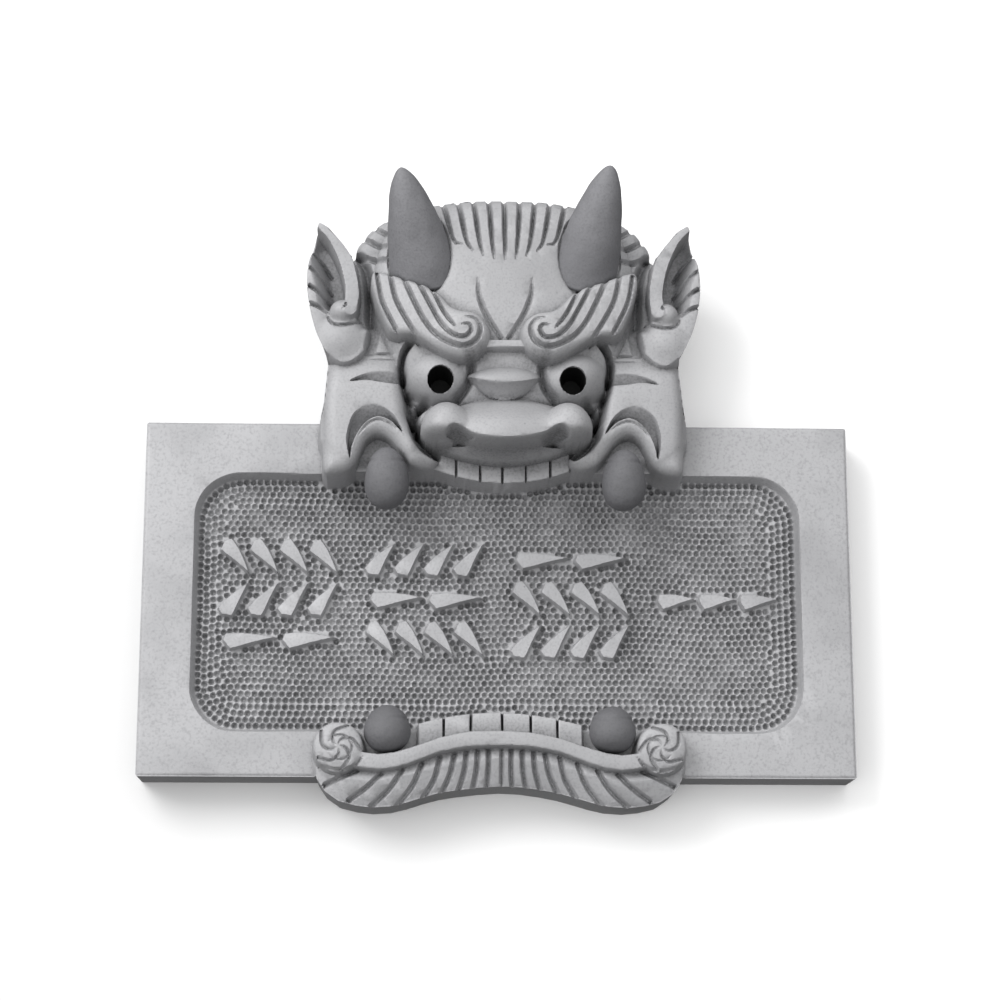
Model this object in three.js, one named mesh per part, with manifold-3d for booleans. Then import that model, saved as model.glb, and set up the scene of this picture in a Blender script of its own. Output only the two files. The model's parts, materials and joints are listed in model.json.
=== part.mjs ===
// Onigawara name tile: a flat roof-tile plaque with a demon head over its top
// edge and the lower jaw along its bottom edge, so that the jaws hold the plate.
// Millimetres, +X right, +Z up. The back lies on the plane y = 0 and the face
// looks towards -Y, so a height h above the back is y = -h.

import * as THREE from 'three';
import { mergeVertices } from 'three/addons/utils/BufferGeometryUtils.js';
import Module from 'manifold-3d';

const wasm = await Module();
wasm.setup();

// ---------------------------------------------------------------- dimensions

const PLATE = { width: 240, height: 121, thickness: 18, edge: 1.5 };
const PANEL = { halfWidth: 103, top: 43, bottom: -45.4, radius: 15.5, floor: 13, slope: 2.5 };

const HEAD_X = 1.5; // the head sits a little to the right of the plate's centre
const JAW_X = 0.4;
const FANG_X = 2; // midway between the two upper fangs

const SKULL = { height: 29, round: 7, draft: 5 };
const CHEEK = { height: 33, round: 4, draft: 2.6 };
const BROW = { base: 24, height: 46, round: 3, scroll: { x: 13.6, z: 85.4, radius: 8.4, height: 49 } };
const EYE = { x: 22, z: 72, centre: 30, radii: [11.5, 9.4, 10.5], tilt: 0.12 };
const PUPIL = { x: 22.3, z: 70, radius: 4.4, floor: 27 };
const EAR = { height: 36, round: 2.5, rim: 2.6 };
const MOUTH = { lipHeight: 30, lipRound: 3, toothHeight: 25, toothWidth: 7.9 };
const TOOTH = { count: 3, edge: 0.8, gap: 0.5 }; // count is for each half of a jaw
const JAW = { height: 26, round: 5, draft: 3, lipHeight: 28, lipRound: 1.6 };
const JAW_TOOTH = { height: 23, width: 9.5 };
const SCROLL = { x: 53.2, z: -51.8, radius: 8.1, height: 30, round: 3, arms: 4 };
const CRESCENT_FLOOR = 29.5;
const FANG_ARCH_FLOOR = 27;

const HORN = {
  root: { x: 26.6, z: 107.4, h: 33 },
  run: { x: 8.8, z: 31.6, h: 25 },
  sag: 4,
  radius: 11.4,
  tipRadius: 3.2,
  sides: 14,
  rings: 7,
};
const UPPER_FANG = { x: 39.8, z: 37.9, h: 32, wide: 7.6, long: 10.6, pitch: -0.12 };
const LOWER_FANG = { x: 37.3, z: -45.4, h: 24.6, wide: 7.9, long: 7.9, pitch: 0 };
const FANG = { sides: 12, steps: 7 };
const JOINT_GAP = 0.35; // open joint line round the horns and fangs

const STROKE = { base: 12, height: 15.7 };
const STROKE_BLOCK = { pitch: 49.4, first: -73.5, width: 40, rowPitch: 14 };
const WEDGE = { width: 5.4, steep: { count: 4, length: 14.4 }, level: { count: 2, length: 18.4 } };
const LAST_ROW = { count: 3, length: 13, pitch: 14 };
const LEAN = { rising: 0.9, falling: -0.9, level: 0.08 };

const OUTLINE_STEP = 6; // largest chord along a smooth outline
const BEVEL_STEPS = 1;
const CLEAR_OF_FACE = 60; // height that every cut from the front starts at

// ---------------------------------------------------------- geometry helpers

// A closed, merged solid from any closed geometry, turned right side out.
function solidOf(geometry) {
  const bare = geometry.index ? geometry.clone() : geometry;
  bare.deleteAttribute('normal');
  bare.deleteAttribute('uv');
  const merged = mergeVertices(bare, 1e-4);
  const points = merged.attributes.position.array;
  const faces = Uint32Array.from(merged.index.array);
  if (signedVolume(points, faces) < 0) {
    for (let i = 0; i < faces.length; i += 3) {
      [faces[i], faces[i + 1]] = [faces[i + 1], faces[i]];
    }
  }
  return new wasm.Manifold(new wasm.Mesh({ numProp: 3, vertProperties: points, triVerts: faces }));
}

function signedVolume(points, faces) {
  const corner = (i) => new THREE.Vector3().fromArray(points, 3 * faces[i]);
  let volume = 0;
  for (let i = 0; i < faces.length; i += 3) {
    volume += corner(i).dot(corner(i + 1).cross(corner(i + 2))) / 6;
  }
  return volume;
}

function joined(solids) {
  return solids.reduce((whole, solid) => whole.add(solid));
}

// Points in the face plane, as (x, z) pairs.
function flat(pairs, side = 1, x0 = 0) {
  return pairs.map(([x, z]) => new THREE.Vector2(side * x + x0, z));
}

// A smooth closed outline through a few points.
function rounded(points, step = OUTLINE_STEP) {
  const loop = new THREE.CatmullRomCurve3(
    points.map((p) => new THREE.Vector3(p.x, p.y, 0)), true, 'centripetal');
  const count = Math.max(points.length, Math.round(loop.getLength() / step));
  return loop.getSpacedPoints(count).slice(0, -1).map((p) => new THREE.Vector2(p.x, p.y));
}

// A block standing on the back plane side, from height `from` to height `to`,
// whose front edge is rounded over `round` in height and `draft` inwards.
function block(points, from, to, round = 0, draft = round, steps = BEVEL_STEPS) {
  const geometry = new THREE.ExtrudeGeometry(new THREE.Shape(points), {
    depth: to - from - round,
    steps: 1,
    bevelEnabled: round > 0,
    bevelThickness: round,
    bevelSize: draft,
    bevelOffset: -draft,
    bevelSegments: steps,
  });
  geometry.translate(0, 0, from);
  geometry.rotateX(Math.PI / 2);
  return solidOf(geometry);
}

// An ellipsoid centred at (x, z) and height h; tilt turns it in the face plane.
function dome(x, z, h, radii, tilt = 0, segments = 12) {
  const geometry = new THREE.SphereGeometry(1, segments, Math.round(segments / 2));
  geometry.scale(radii[0], radii[2], radii[1]);
  geometry.rotateY(-tilt);
  geometry.translate(x, -h, z);
  return solidOf(geometry);
}

// A skin over rings of equal count, closed at both ends onto their centres.
function loft(rings) {
  const count = rings[0].length;
  const centre = (ring) => ring.reduce((s, p) => s.add(p), new THREE.Vector3()).divideScalar(count);
  const points = [centre(rings[0]), ...rings.flat(), centre(rings[rings.length - 1])];
  const last = points.length - 1;
  const faces = [];
  for (let j = 0; j < count; j += 1) {
    const k = (j + 1) % count;
    faces.push(0, 1 + k, 1 + j);
    faces.push(last, last - count + j, last - count + k);
    for (let i = 0; i < rings.length - 1; i += 1) {
      const a = 1 + i * count;
      const b = a + count;
      faces.push(a + j, a + k, b + j, a + k, b + k, b + j);
    }
  }
  const geometry = new THREE.BufferGeometry().setFromPoints(points);
  geometry.setIndex(faces);
  return solidOf(geometry);
}

// A tool stroke along a path of [x, z, height of the surface]: a diamond section
// that is `width` wide at the surface and `depth` deep, running out at each end.
function stroke(path, width, depth, side = 1, x0 = 0) {
  const points = path.map(([x, z, h]) => new THREE.Vector3(side * x + x0, -h, z));
  const rings = points.map((point, i) => {
    const ahead = points[Math.min(i + 1, points.length - 1)];
    const behind = points[Math.max(i - 1, 0)];
    const along = ahead.clone().sub(behind).normalize();
    const outward = new THREE.Vector3(0, -1, 0);
    const across = along.clone().cross(outward).normalize();
    const end = i === 0 || i === points.length - 1;
    const scale = end ? 0.45 : 1;
    return [
      point.clone().addScaledVector(across, (width * scale) / 2),
      point.clone().addScaledVector(outward, depth * 2),
      point.clone().addScaledVector(across, (-width * scale) / 2),
      point.clone().addScaledVector(outward, -depth * scale),
    ];
  });
  return loft(rings);
}

// A round bar along a path, `radius` at its middle and tapering to the ends.
function bar(path, radius, side = 1, x0 = 0, sides = 6, taper = 0.6) {
  const curve = new THREE.CatmullRomCurve3(
    path.map(([x, z, h]) => new THREE.Vector3(side * x + x0, -h, z)));
  const steps = path.length + 2;
  const rings = curve.getSpacedPoints(steps).map((point, i) => {
    const along = curve.getTangentAt(i / steps);
    const outward = new THREE.Vector3(0, -1, 0);
    const across = along.clone().cross(outward).normalize();
    const up = across.clone().cross(along).normalize();
    const size = radius * (1 - (1 - taper) * Math.abs((2 * i) / steps - 1) ** 3);
    return Array.from({ length: sides }, (_, j) => {
      const angle = (2 * Math.PI * j) / sides;
      return point.clone()
        .addScaledVector(across, size * Math.cos(angle))
        .addScaledVector(up, size * Math.sin(angle));
    });
  });
  return loft(rings);
}

// Pairs round a circle about (x, z).
function disc(radius, count, x, z) {
  return Array.from({ length: count }, (_, i) => {
    const angle = (2 * Math.PI * i) / count;
    return [x + radius * Math.cos(angle), z + radius * Math.sin(angle)];
  });
}

// --------------------------------------------------------------------- plate

function plate() {
  const w = PLATE.width / 2;
  const h = PLATE.height / 2;
  const corners = flat([[-w, -h], [w, -h], [w, h], [-w, h]]);
  return block(corners, 0, PLATE.thickness, PLATE.edge, PLATE.edge);
}

// The sunk panel's rounded rectangle at its floor; its walls open outwards.
function panelCut() {
  const { halfWidth: w, top, bottom, radius, slope, floor } = PANEL;
  const r = radius;
  const shape = new THREE.Shape();
  shape.moveTo(-w + r, bottom);
  shape.lineTo(w - r, bottom);
  shape.absarc(w - r, bottom + r, r, -Math.PI / 2, 0);
  shape.lineTo(w, top - r);
  shape.absarc(w - r, top - r, r, 0, Math.PI / 2);
  shape.lineTo(-w + r, top);
  shape.absarc(-w + r, top - r, r, Math.PI / 2, Math.PI);
  shape.lineTo(-w, bottom + r);
  shape.absarc(-w + r, bottom + r, r, Math.PI, 1.5 * Math.PI);
  const rise = PLATE.thickness - floor;
  const geometry = new THREE.ExtrudeGeometry(shape, {
    depth: rise,
    bevelEnabled: true,
    bevelThickness: rise,
    bevelSize: slope,
    bevelOffset: -slope,
    bevelSegments: 1,
    curveSegments: 5,
  });
  geometry.translate(0, 0, PLATE.thickness);
  geometry.rotateX(Math.PI / 2);
  return solidOf(geometry);
}

// One raised brush-like wedge: a broad head running out to a point.
function wedge(x, z, length, width, lean) {
  const c = Math.cos(lean);
  const s = Math.sin(lean);
  const profile = [[-0.5, 0.1], [-0.42, 0.5], [-0.1, 0.34], [0.5, 0], [-0.05, -0.32], [-0.4, -0.5]];
  const turned = profile.map(([u, v]) => [
    x + length * u * c - width * v * s,
    z + length * u * s + width * v * c,
  ]);
  return block(flat(turned), STROKE.base, STROKE.height);
}

// Rows of plain strokes in four blocks along the panel; they are not letters.
function strokeRows() {
  const blocks = [
    ['falling', 'rising', 'level'],
    ['rising', 'level', 'falling'],
    ['level', 'falling', 'rising'],
  ];
  const wedges = [];
  blocks.forEach((rows, b) => {
    const x0 = STROKE_BLOCK.first + b * STROKE_BLOCK.pitch;
    rows.forEach((row, r) => {
      const z = (1 - r) * STROKE_BLOCK.rowPitch;
      const { count, length } = row === 'level' ? WEDGE.level : WEDGE.steep;
      for (let i = 0; i < count; i += 1) {
        const x = x0 + (i - (count - 1) / 2) * (STROKE_BLOCK.width / count);
        wedges.push(wedge(x, z, length, WEDGE.width, LEAN[row]));
      }
    });
  });
  const x3 = STROKE_BLOCK.first + blocks.length * STROKE_BLOCK.pitch;
  for (let i = 0; i < LAST_ROW.count; i += 1) {
    const x = x3 + (i - (LAST_ROW.count - 1) / 2) * LAST_ROW.pitch;
    wedges.push(wedge(x, 0, LAST_ROW.length, WEDGE.width, LEAN.level));
  }
  return wedges;
}

// ---------------------------------------------------------------------- head

const SKULL_HALF = [
  [0, 42.4], [12, 43.4], [22, 45.6], [32, 43.4], [51, 42], [60.5, 39.2], [61.2, 50], [60.2, 62],
  [59.6, 78], [57, 92], [53, 108], [50.6, 119], [46, 126], [40, 131], [24, 135.8], [12, 136.6],
  [0, 136.8],
];

// A closed outline from its right half, mirrored about x0.
function mirroredOutline(half, x0) {
  return [...flat(half, 1, x0), ...flat(half, -1, x0).slice(1, -1).reverse()];
}

function skull() {
  const outline = mirroredOutline(SKULL_HALF, HEAD_X);
  const mass = block(outline, 0, SKULL.height, SKULL.round, SKULL.draft, 2);
  const forehead = dome(HEAD_X, 104, 20, [46, 38, 23.5], 0, 16);
  const bridge = dome(HEAD_X, 72, 28, [13, 18, 14]);
  return [mass, forehead, bridge];
}

function cheek(side) {
  const points = [
    [34.2, 45], [37.6, 50], [42, 53.4], [46.6, 51], [50.2, 43], [54, 40.3], [59.8, 39.6],
    [60, 56], [59.6, 72], [54, 80], [42, 82], [36, 76], [33, 66], [32, 58], [26.5, 50.5],
    [22, 45], [27, 41.5],
  ];
  return block(rounded(flat(points, side, HEAD_X)), 0, CHEEK.height, CHEEK.round, CHEEK.draft);
}

// The hollow under the cheek that the upper fang hangs in.
function fangArch(side) {
  const points = [
    [33, 36], [34.2, 45], [37.6, 50], [42, 53], [46.6, 50.6], [50.6, 42.6], [50, 36],
  ];
  return block(flat(points, side, FANG_X), FANG_ARCH_FLOOR, CLEAR_OF_FACE);
}

// The flat-bottomed crescent carved round the cheek above each upper fang.
function crescent(side) {
  const points = [
    [51.5, 45], [52.6, 52], [50, 59], [44.5, 63.2], [38.5, 60.2], [34.2, 54],
    [37.5, 56.6], [43, 58.6], [48, 54.6],
  ];
  return block(rounded(flat(points, side, HEAD_X), 3), CRESCENT_FLOOR, CLEAR_OF_FACE);
}

function brow(side) {
  const points = [
    [44.6, 107], [39, 107.2], [33, 104.4], [26.6, 101.6], [21, 97.4], [16.8, 93], [13, 92.6],
    [7.4, 89.6], [5.4, 84.6], [8, 79.2], [14, 76.3], [20, 78], [25.4, 81.4], [31.4, 84.8],
    [38.4, 86], [42, 92.4], [44.4, 99.6],
  ];
  const { base, height, round, scroll } = BROW;
  const mass = block(rounded(flat(points, side, HEAD_X), 5), base, height, round);
  const boss = disc(scroll.radius, 14, scroll.x, scroll.z);
  return mass.add(block(flat(boss, side, HEAD_X), base, scroll.height, round));
}

// Locks of hair: grooves that follow the brow's sweep and turn into the scroll.
function browGrooves(side) {
  const h = BROW.height;
  const s = BROW.scroll.height;
  const lines = [
    [[42, 103.5, h], [40.6, 95.5, h], [37, 88.2, h], [35.6, 85.4, h - 2]],
    [[37.6, 106, h - 1], [35.8, 97, h], [32, 89.4, h], [28.6, 83.6, h - 1]],
    [[33.4, 104.6, h - 1], [29.6, 96, h], [25.6, 88, h], [20.4, 82.6, h], [14.6, 80.4, s - 1]],
    [[29, 102.4, h - 1], [23.8, 92.6, h], [20.4, 86, s - 1], [16, 82.8, s], [11.6, 84, s]],
    [[24.8, 100, h - 1], [20, 91.6, h], [17.4, 88, s], [14, 86.2, s]],
  ];
  return lines.map((line) => stroke(line, 2.1, 1.5, side, HEAD_X));
}

function eye(side) {
  return dome(side * EYE.x + HEAD_X, EYE.z, EYE.centre, EYE.radii, side * -EYE.tilt);
}

function pupil(side) {
  const ring = disc(PUPIL.radius, 12, PUPIL.x, PUPIL.z);
  return block(flat(ring, side, HEAD_X), PUPIL.floor, CLEAR_OF_FACE);
}

// The blunt nose: one wide bar with a round lobe at each end and hollow nostrils.
function nose() {
  const parts = [
    dome(HEAD_X, 54.6, 36, [24, 9, 17], 0, 16),
    dome(HEAD_X, 71.6, 36, [12.4, 4.4, 9], 0, 12),
    block(flat([[-7.6, 80.2], [7.6, 80.2], [8.4, 83], [-8.4, 83]], 1, HEAD_X), 24, 44),
  ];
  for (const side of [-1, 1]) {
    parts.push(dome(side * 19 + HEAD_X, 55.4, 37, [10.6, 8.8, 13.6]));
  }
  return joined(parts);
}

function nostril(side) {
  return dome(side * 16.4 + HEAD_X, 49.4, 47, [4, 2.4, 5], side * 0.3, 10);
}

// A row of teeth about x0, from the curve edge(x) back to the level `root`.
function teeth(x0, width, height, edge, root) {
  const row = [];
  for (const side of [-1, 1]) {
    for (let i = 0; i < TOOTH.count; i += 1) {
      const inner = i * width + TOOTH.gap / 2;
      const outer = (i + 1) * width - TOOTH.gap / 2;
      const tooth = [[inner, edge(inner)], [outer, edge(outer)], [outer, root], [inner, root]];
      row.push(block(flat(tooth, side, x0), 0, height, TOOTH.edge));
    }
  }
  return joined(row);
}

function upperMouth() {
  const lip = [
    [0, 44.2], [8, 44.8], [15, 46.6], [21, 49.4], [27, 51], [33, 60], [20, 66], [0, 66],
  ];
  const slope = block(mirroredOutline(lip, HEAD_X), 0, MOUTH.lipHeight, MOUTH.lipRound);
  const edge = (x) => 38.3 + 0.0085 * x * x;
  return slope.add(teeth(HEAD_X, MOUTH.toothWidth, MOUTH.toothHeight, edge, 50));
}

function ear(side) {
  const outline = [
    [62.5, 125.6], [56.8, 122.4], [52.6, 116.4], [49.8, 107], [49.4, 97], [48.6, 92.4],
    [45.4, 87.6], [47, 81.4], [53, 77.2], [59.4, 81.4], [63.4, 88.6], [66.4, 98], [66.8, 108], [65.4, 118],
  ];
  const mass = block(flat(outline, side, HEAD_X), 0, EAR.height, EAR.round, EAR.round);
  const hollow = dome(side * 64 + HEAD_X, 108, 40, [9, 17, 12], side * -0.1, 14);
  const rim = bar([
    [61.6, 123, 34.5], [56, 117.6, 36], [52.2, 108, 36.5], [51.2, 99, 36.5],
    [53.6, 93.2, 36.5], [57, 94.4, 36.5],
  ], EAR.rim, side, HEAD_X);
  return mass.subtract(hollow).add(rim);
}

function earGrooves(side) {
  const lines = [
    [[66, 115.5, 31], [59.4, 109.6, 29.4]],
    [[67, 109, 31], [58.6, 104, 28.8]],
    [[67.2, 103, 31], [59, 99.4, 29.6]],
    [[67, 97.6, 32], [60, 95, 31.6]],
  ];
  return lines.map((line) => stroke(line, 1.9, 1.4, side, HEAD_X));
}

// Combed hair: flutes that fan from the forehead up to the head's top edge.
function hairGrooves() {
  const flutes = [];
  const half = 4;
  for (let i = -half; i <= half; i += 1) {
    const top = i * 5.4 + HEAD_X;
    const foot = i * 3.55 + HEAD_X;
    const footZ = 111.8 + 0.38 * i * i;
    flutes.push(stroke([
      [foot, footZ, 42.2 - 0.16 * i * i], [(top + foot) / 2 + 0.3 * i, 126, 38.2], [top, 139, 28],
    ], 2.7, 1.7));
  }
  for (const side of [-1, 1]) {
    const sideLines = [
      [[38.6, 115.4, 30], [52, 118.2, 26.5]],
      [[39, 120.4, 30], [49, 124.6, 26]],
      [[39.6, 125, 29.6], [45.4, 129, 26]],
    ];
    sideLines.forEach((line) => flutes.push(stroke(line, 2.2, 1.6, side, HEAD_X)));
  }
  return flutes;
}

// The frown: two cuts that meet over the bridge of the nose.
function frown() {
  return [-1, 1].map((side) => stroke([
    [9.2, 105.6, 43], [7.4, 95.6, 43.4], [1.2, 84, 42.4],
  ], 2.4, 2, side, HEAD_X));
}

function templeCuts(side) {
  return [
    stroke([[52, 70.6, 31.6], [43, 73.4, 33], [34.6, 71.8, 33]], 3.2, 1.8, side, HEAD_X),
    stroke([[47, 80.8, 31], [36.6, 81, 31]], 1.6, 1.2, side, HEAD_X),
  ];
}

// ----------------------------------------------------------------------- jaw

const JAW_HALF = [
  [0, -46], [10, -46.6], [20, -48.4], [30, -51.6], [40, -53.8], [47, -54.5], [60.2, -55],
  [59.6, -61], [56.4, -66.6], [50, -69.6], [42, -70.7], [33, -69.8], [24, -67.2], [12, -64.7], [0, -63.9],
];

// Lower edge of the lip band that runs between the two scrolls.
const LIP_HALF = [
  [0, -46], [10, -46.6], [20, -48.4], [30, -51.6], [40, -53.8], [47.4, -53.4], [48.4, -57.8],
  [41.5, -59.3], [32, -57.7], [22, -53.7], [12, -51.7], [0, -51.2],
];

function jaw() {
  const edge = (x) => -39.2 - 0.0052 * x * x;
  const parts = [
    block(mirroredOutline(JAW_HALF, JAW_X), 0, JAW.height, JAW.round, JAW.draft),
    block(mirroredOutline(LIP_HALF, JAW_X), 0, JAW.lipHeight, JAW.lipRound),
    teeth(JAW_X, JAW_TOOTH.width, JAW_TOOTH.height, edge, -55),
  ];
  for (const side of [-1, 1]) {
    const shell = disc(SCROLL.radius, 14, SCROLL.x, SCROLL.z);
    parts.push(block(flat(shell, side, JAW_X), 0, SCROLL.height, SCROLL.round));
  }
  return joined(parts);
}

// The beard: short locks that fan from the lip down to the lower edge.
function beardGrooves() {
  const locks = [
    [45.4, -59.4, 57.4, -63.6], [38.4, -59.4, 51, -69], [32, -58.4, 43.4, -70.6], [25.6, -56.2, 35, -70.6],
    [20, -54.2, 26, -67.9], [15.2, -52.8, 20, -66.4], [11.2, -52.2, 14.4, -65.4], [7.2, -51.8, 9.2, -64.5],
    [3.6, -51.4, 4.4, -64.1],
  ];
  const grooves = [];
  for (const side of [-1, 1]) {
    for (const [x0, z0, x1, z1] of locks) {
      const path = [[x0, z0, 26], [(x0 + x1) / 2 - 0.6, (z0 + z1) / 2, 26], [x1, z1, 21.6]];
      grooves.push(stroke(path, 2.1, 1.6, side, JAW_X));
    }
  }
  grooves.push(stroke([[0, -51.4, 26], [0, -58, 26], [0, -64, 21.6]], 2.1, 1.6, 1, JAW_X));
  return grooves;
}

// Curved cuts that turn each jaw scroll into a pinwheel.
function scrollCuts(side) {
  const h = SCROLL.height;
  return Array.from({ length: SCROLL.arms }, (_, i) => {
    const start = (2 * Math.PI * i) / SCROLL.arms + 0.4;
    const point = (r, turn) => [
      SCROLL.x + r * Math.cos(start + turn),
      SCROLL.z + r * Math.sin(start + turn),
      h - 0.04 * r * r,
    ];
    return stroke([point(1.2, 0), point(3.6, 0.5), point(6.8, 1.25)], 1.5, 1, side, JAW_X);
  });
}

// ------------------------------------------------------------ horns and fangs

// A horn's radius and axis from its root (t = 0) to its blunt tip (t = 1).
function hornAt(t, side, grow = 0) {
  const { root, run, sag } = HORN;
  const height = root.h + run.h * t - sag * t * t;
  const centre = new THREE.Vector3(side * (root.x + run.x * t) + HEAD_X, -height, root.z + run.z * t);
  const swell = HORN.radius * (1 - t) ** 0.62 + HORN.tipRadius * t;
  return { centre, radius: swell + grow };
}

function horn(side, grow = 0) {
  const rings = [];
  for (let i = 0; i <= HORN.rings; i += 1) {
    const t = i / HORN.rings;
    const here = hornAt(t, side, grow);
    const ahead = hornAt(Math.min(1, t + 0.05), side).centre;
    const behind = hornAt(Math.max(0, t - 0.05), side).centre;
    const along = ahead.sub(behind).normalize();
    const across = along.clone().cross(new THREE.Vector3(0, -1, 0)).normalize();
    const out = across.clone().cross(along).normalize();
    const shift = along.multiplyScalar(i === 0 ? -grow : 0);
    rings.push(Array.from({ length: HORN.sides }, (_, j) => {
      const angle = (2 * Math.PI * j) / HORN.sides;
      return here.centre.clone().add(shift)
        .addScaledVector(across, here.radius * Math.cos(angle))
        .addScaledVector(out, here.radius * Math.sin(angle));
    }));
  }
  const tip = hornAt(1, side).centre.add(new THREE.Vector3(side * 0.6, -1.2, 2.2));
  const rim = rings[rings.length - 1];
  rings.push(rim.map((p) => p.clone().lerp(tip, 0.62).add(new THREE.Vector3(0, -0.4, 0.9))));
  return loft(rings);
}

// An egg: `long` above and below its centre, `wide` across, blunt at the point.
function egg({ x, z, h, wide, long, pitch }, side, x0, grow = 0) {
  const profile = Array.from({ length: FANG.steps + 1 }, (_, i) => {
    const a = (Math.PI * i) / FANG.steps;
    const belly = 1 + 0.12 * Math.cos(a);
    const edge = i === 0 || i === FANG.steps;
    return new THREE.Vector2(edge ? 0 : (wide + grow) * Math.sin(a) * belly, -(long + grow) * Math.cos(a));
  });
  const geometry = new THREE.LatheGeometry(profile, FANG.sides);
  geometry.rotateX(Math.PI / 2 + pitch);
  geometry.translate(side * x + x0, -h, z);
  return solidOf(geometry);
}

const fangs = {
  fang_upper_left: (grow) => egg(UPPER_FANG, -1, FANG_X, grow),
  fang_upper_right: (grow) => egg(UPPER_FANG, 1, FANG_X, grow),
  fang_lower_left: (grow) => egg(LOWER_FANG, -1, JAW_X, grow),
  fang_lower_right: (grow) => egg(LOWER_FANG, 1, JAW_X, grow),
};

// ------------------------------------------------------------------ assembly

function tileBody() {
  const sides = [-1, 1];
  const raised = [
    ...strokeRows(), ...skull(), nose(), upperMouth(), jaw(),
    ...sides.map(cheek), ...sides.map(brow), ...sides.map(eye), ...sides.map(ear),
  ];
  const cuts = [
    ...hairGrooves(), ...frown(), ...beardGrooves(),
    ...sides.flatMap((side) => [
      pupil(side), nostril(side), fangArch(side), crescent(side), ...browGrooves(side), ...earGrooves(side),
      ...templeCuts(side), ...scrollCuts(side),
    ]),
  ];
  const seats = [
    ...sides.map((side) => horn(side, JOINT_GAP)),
    ...Object.values(fangs).map((fang) => fang(JOINT_GAP)),
  ];
  const far = 400;
  const behind = solidOf(new THREE.BoxGeometry(far, far, far).translate(0, far / 2, 0));
  let body = plate().subtract(panelCut());
  for (const solid of raised) {
    body = body.add(solid);
  }
  for (const solid of [...cuts, ...seats, behind]) {
    body = body.subtract(solid);
  }
  return body;
}

function meshOf(name, solid, material) {
  const { vertProperties, triVerts } = solid.getMesh();
  const geometry = new THREE.BufferGeometry();
  geometry.setAttribute('position', new THREE.BufferAttribute(Float32Array.from(vertProperties), 3));
  geometry.setIndex(new THREE.BufferAttribute(Uint32Array.from(triVerts), 1));
  geometry.computeVertexNormals();
  const mesh = new THREE.Mesh(geometry, material);
  mesh.name = name;
  return mesh;
}

const burnished = new THREE.MeshStandardMaterial({ color: 0xb4b5b7, roughness: 0.5, metalness: 0.1 });
const matt = new THREE.MeshStandardMaterial({ color: 0x7e7f82, roughness: 0.75, metalness: 0 });

const tile = new THREE.Group();
tile.add(meshOf('tile_body', tileBody(), burnished));
tile.add(meshOf('horn_left', horn(-1), matt));
tile.add(meshOf('horn_right', horn(1), matt));
for (const [name, make] of Object.entries(fangs)) {
  tile.add(meshOf(name, make(0), matt));
}

export default tile;
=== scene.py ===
"""A fired-clay onigawara name tile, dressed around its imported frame.

The tile is a flat plate with a sunk, punch-marked panel, held between a demon
head on its top edge and a lower jaw on its bottom edge. The head, plate and
jaw are one clay body. The horns and fangs are pieces of their own, left matt.

The body is worked as a relief: a height map over the plate's face in which
each feature is a small class that models its own form. Geometry Nodes then cut
the incised lines and the punch marks into the meshed face.

Lengths inside the relief are millimetres; Blender objects are in metres.
X is to the right, Z is up, and the face looks towards -Y.
"""

import json
import logging
import math
from dataclasses import dataclass, field
from enum import Enum

import bpy
import numpy as np
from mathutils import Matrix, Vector
from mathutils.kdtree import KDTree

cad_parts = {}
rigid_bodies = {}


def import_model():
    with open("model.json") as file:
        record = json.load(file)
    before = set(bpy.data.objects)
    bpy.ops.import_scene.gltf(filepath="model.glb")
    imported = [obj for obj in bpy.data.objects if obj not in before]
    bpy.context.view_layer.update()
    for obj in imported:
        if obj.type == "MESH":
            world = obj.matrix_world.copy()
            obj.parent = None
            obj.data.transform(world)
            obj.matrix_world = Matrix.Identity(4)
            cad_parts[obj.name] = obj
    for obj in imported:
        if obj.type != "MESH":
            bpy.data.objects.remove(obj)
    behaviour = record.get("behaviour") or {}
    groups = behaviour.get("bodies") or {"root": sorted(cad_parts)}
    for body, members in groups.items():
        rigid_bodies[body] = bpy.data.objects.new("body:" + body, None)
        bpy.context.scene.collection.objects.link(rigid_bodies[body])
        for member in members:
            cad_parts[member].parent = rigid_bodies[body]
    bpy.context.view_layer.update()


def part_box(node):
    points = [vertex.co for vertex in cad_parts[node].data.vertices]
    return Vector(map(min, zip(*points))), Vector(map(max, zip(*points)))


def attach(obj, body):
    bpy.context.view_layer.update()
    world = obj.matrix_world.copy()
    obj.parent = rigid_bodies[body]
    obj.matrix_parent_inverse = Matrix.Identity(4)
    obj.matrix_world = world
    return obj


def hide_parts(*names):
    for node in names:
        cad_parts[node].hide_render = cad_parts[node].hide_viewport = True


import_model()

MM = 0.001
LOG = logging.getLogger("onigawara")
Points = list[tuple[float, float]]
Area = tuple[slice, slice]


class Slot(Enum):
    """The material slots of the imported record."""

    BURNISHED = "burnished_tile"
    MATT = "matt_tile"


class Side(Enum):
    """The two halves of the face, as seen from the front."""

    LEFT = -1
    RIGHT = 1


class Lean(Enum):
    """Directions of the raised wedges, in radians."""

    RISING = 0.9
    FALLING = -0.9
    LEVEL = 0.08


# ------------------------------------------------------------------ arithmetic


def smoothstep(low: float, high: float, value: np.ndarray) -> np.ndarray:
    """Rise smoothly from 0 at low to 1 at high; high may be the lesser, for a fall."""
    t = np.clip((value - low) / (high - low), 0, 1)
    return t * t * (3 - 2 * t)


def blend_max(a: np.ndarray, b: np.ndarray, width: float) -> np.ndarray:
    """Join two heights as clay pressed together, with a fillet.

    Args:
        a: First height.
        b: Second height.
        width: Height over which the two run into each other.

    Returns:
        The joined height.
    """
    t = np.clip(0.5 + 0.5 * (a - b) / width, 0, 1)
    return b + (a - b) * t + width * t * (1 - t)


def laid(ground: np.ndarray, form: np.ndarray, share: np.ndarray) -> np.ndarray:
    """Raise the ground towards a form by a share, and never lower it."""
    return np.maximum(ground, ground + (form - ground) * share)


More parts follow.
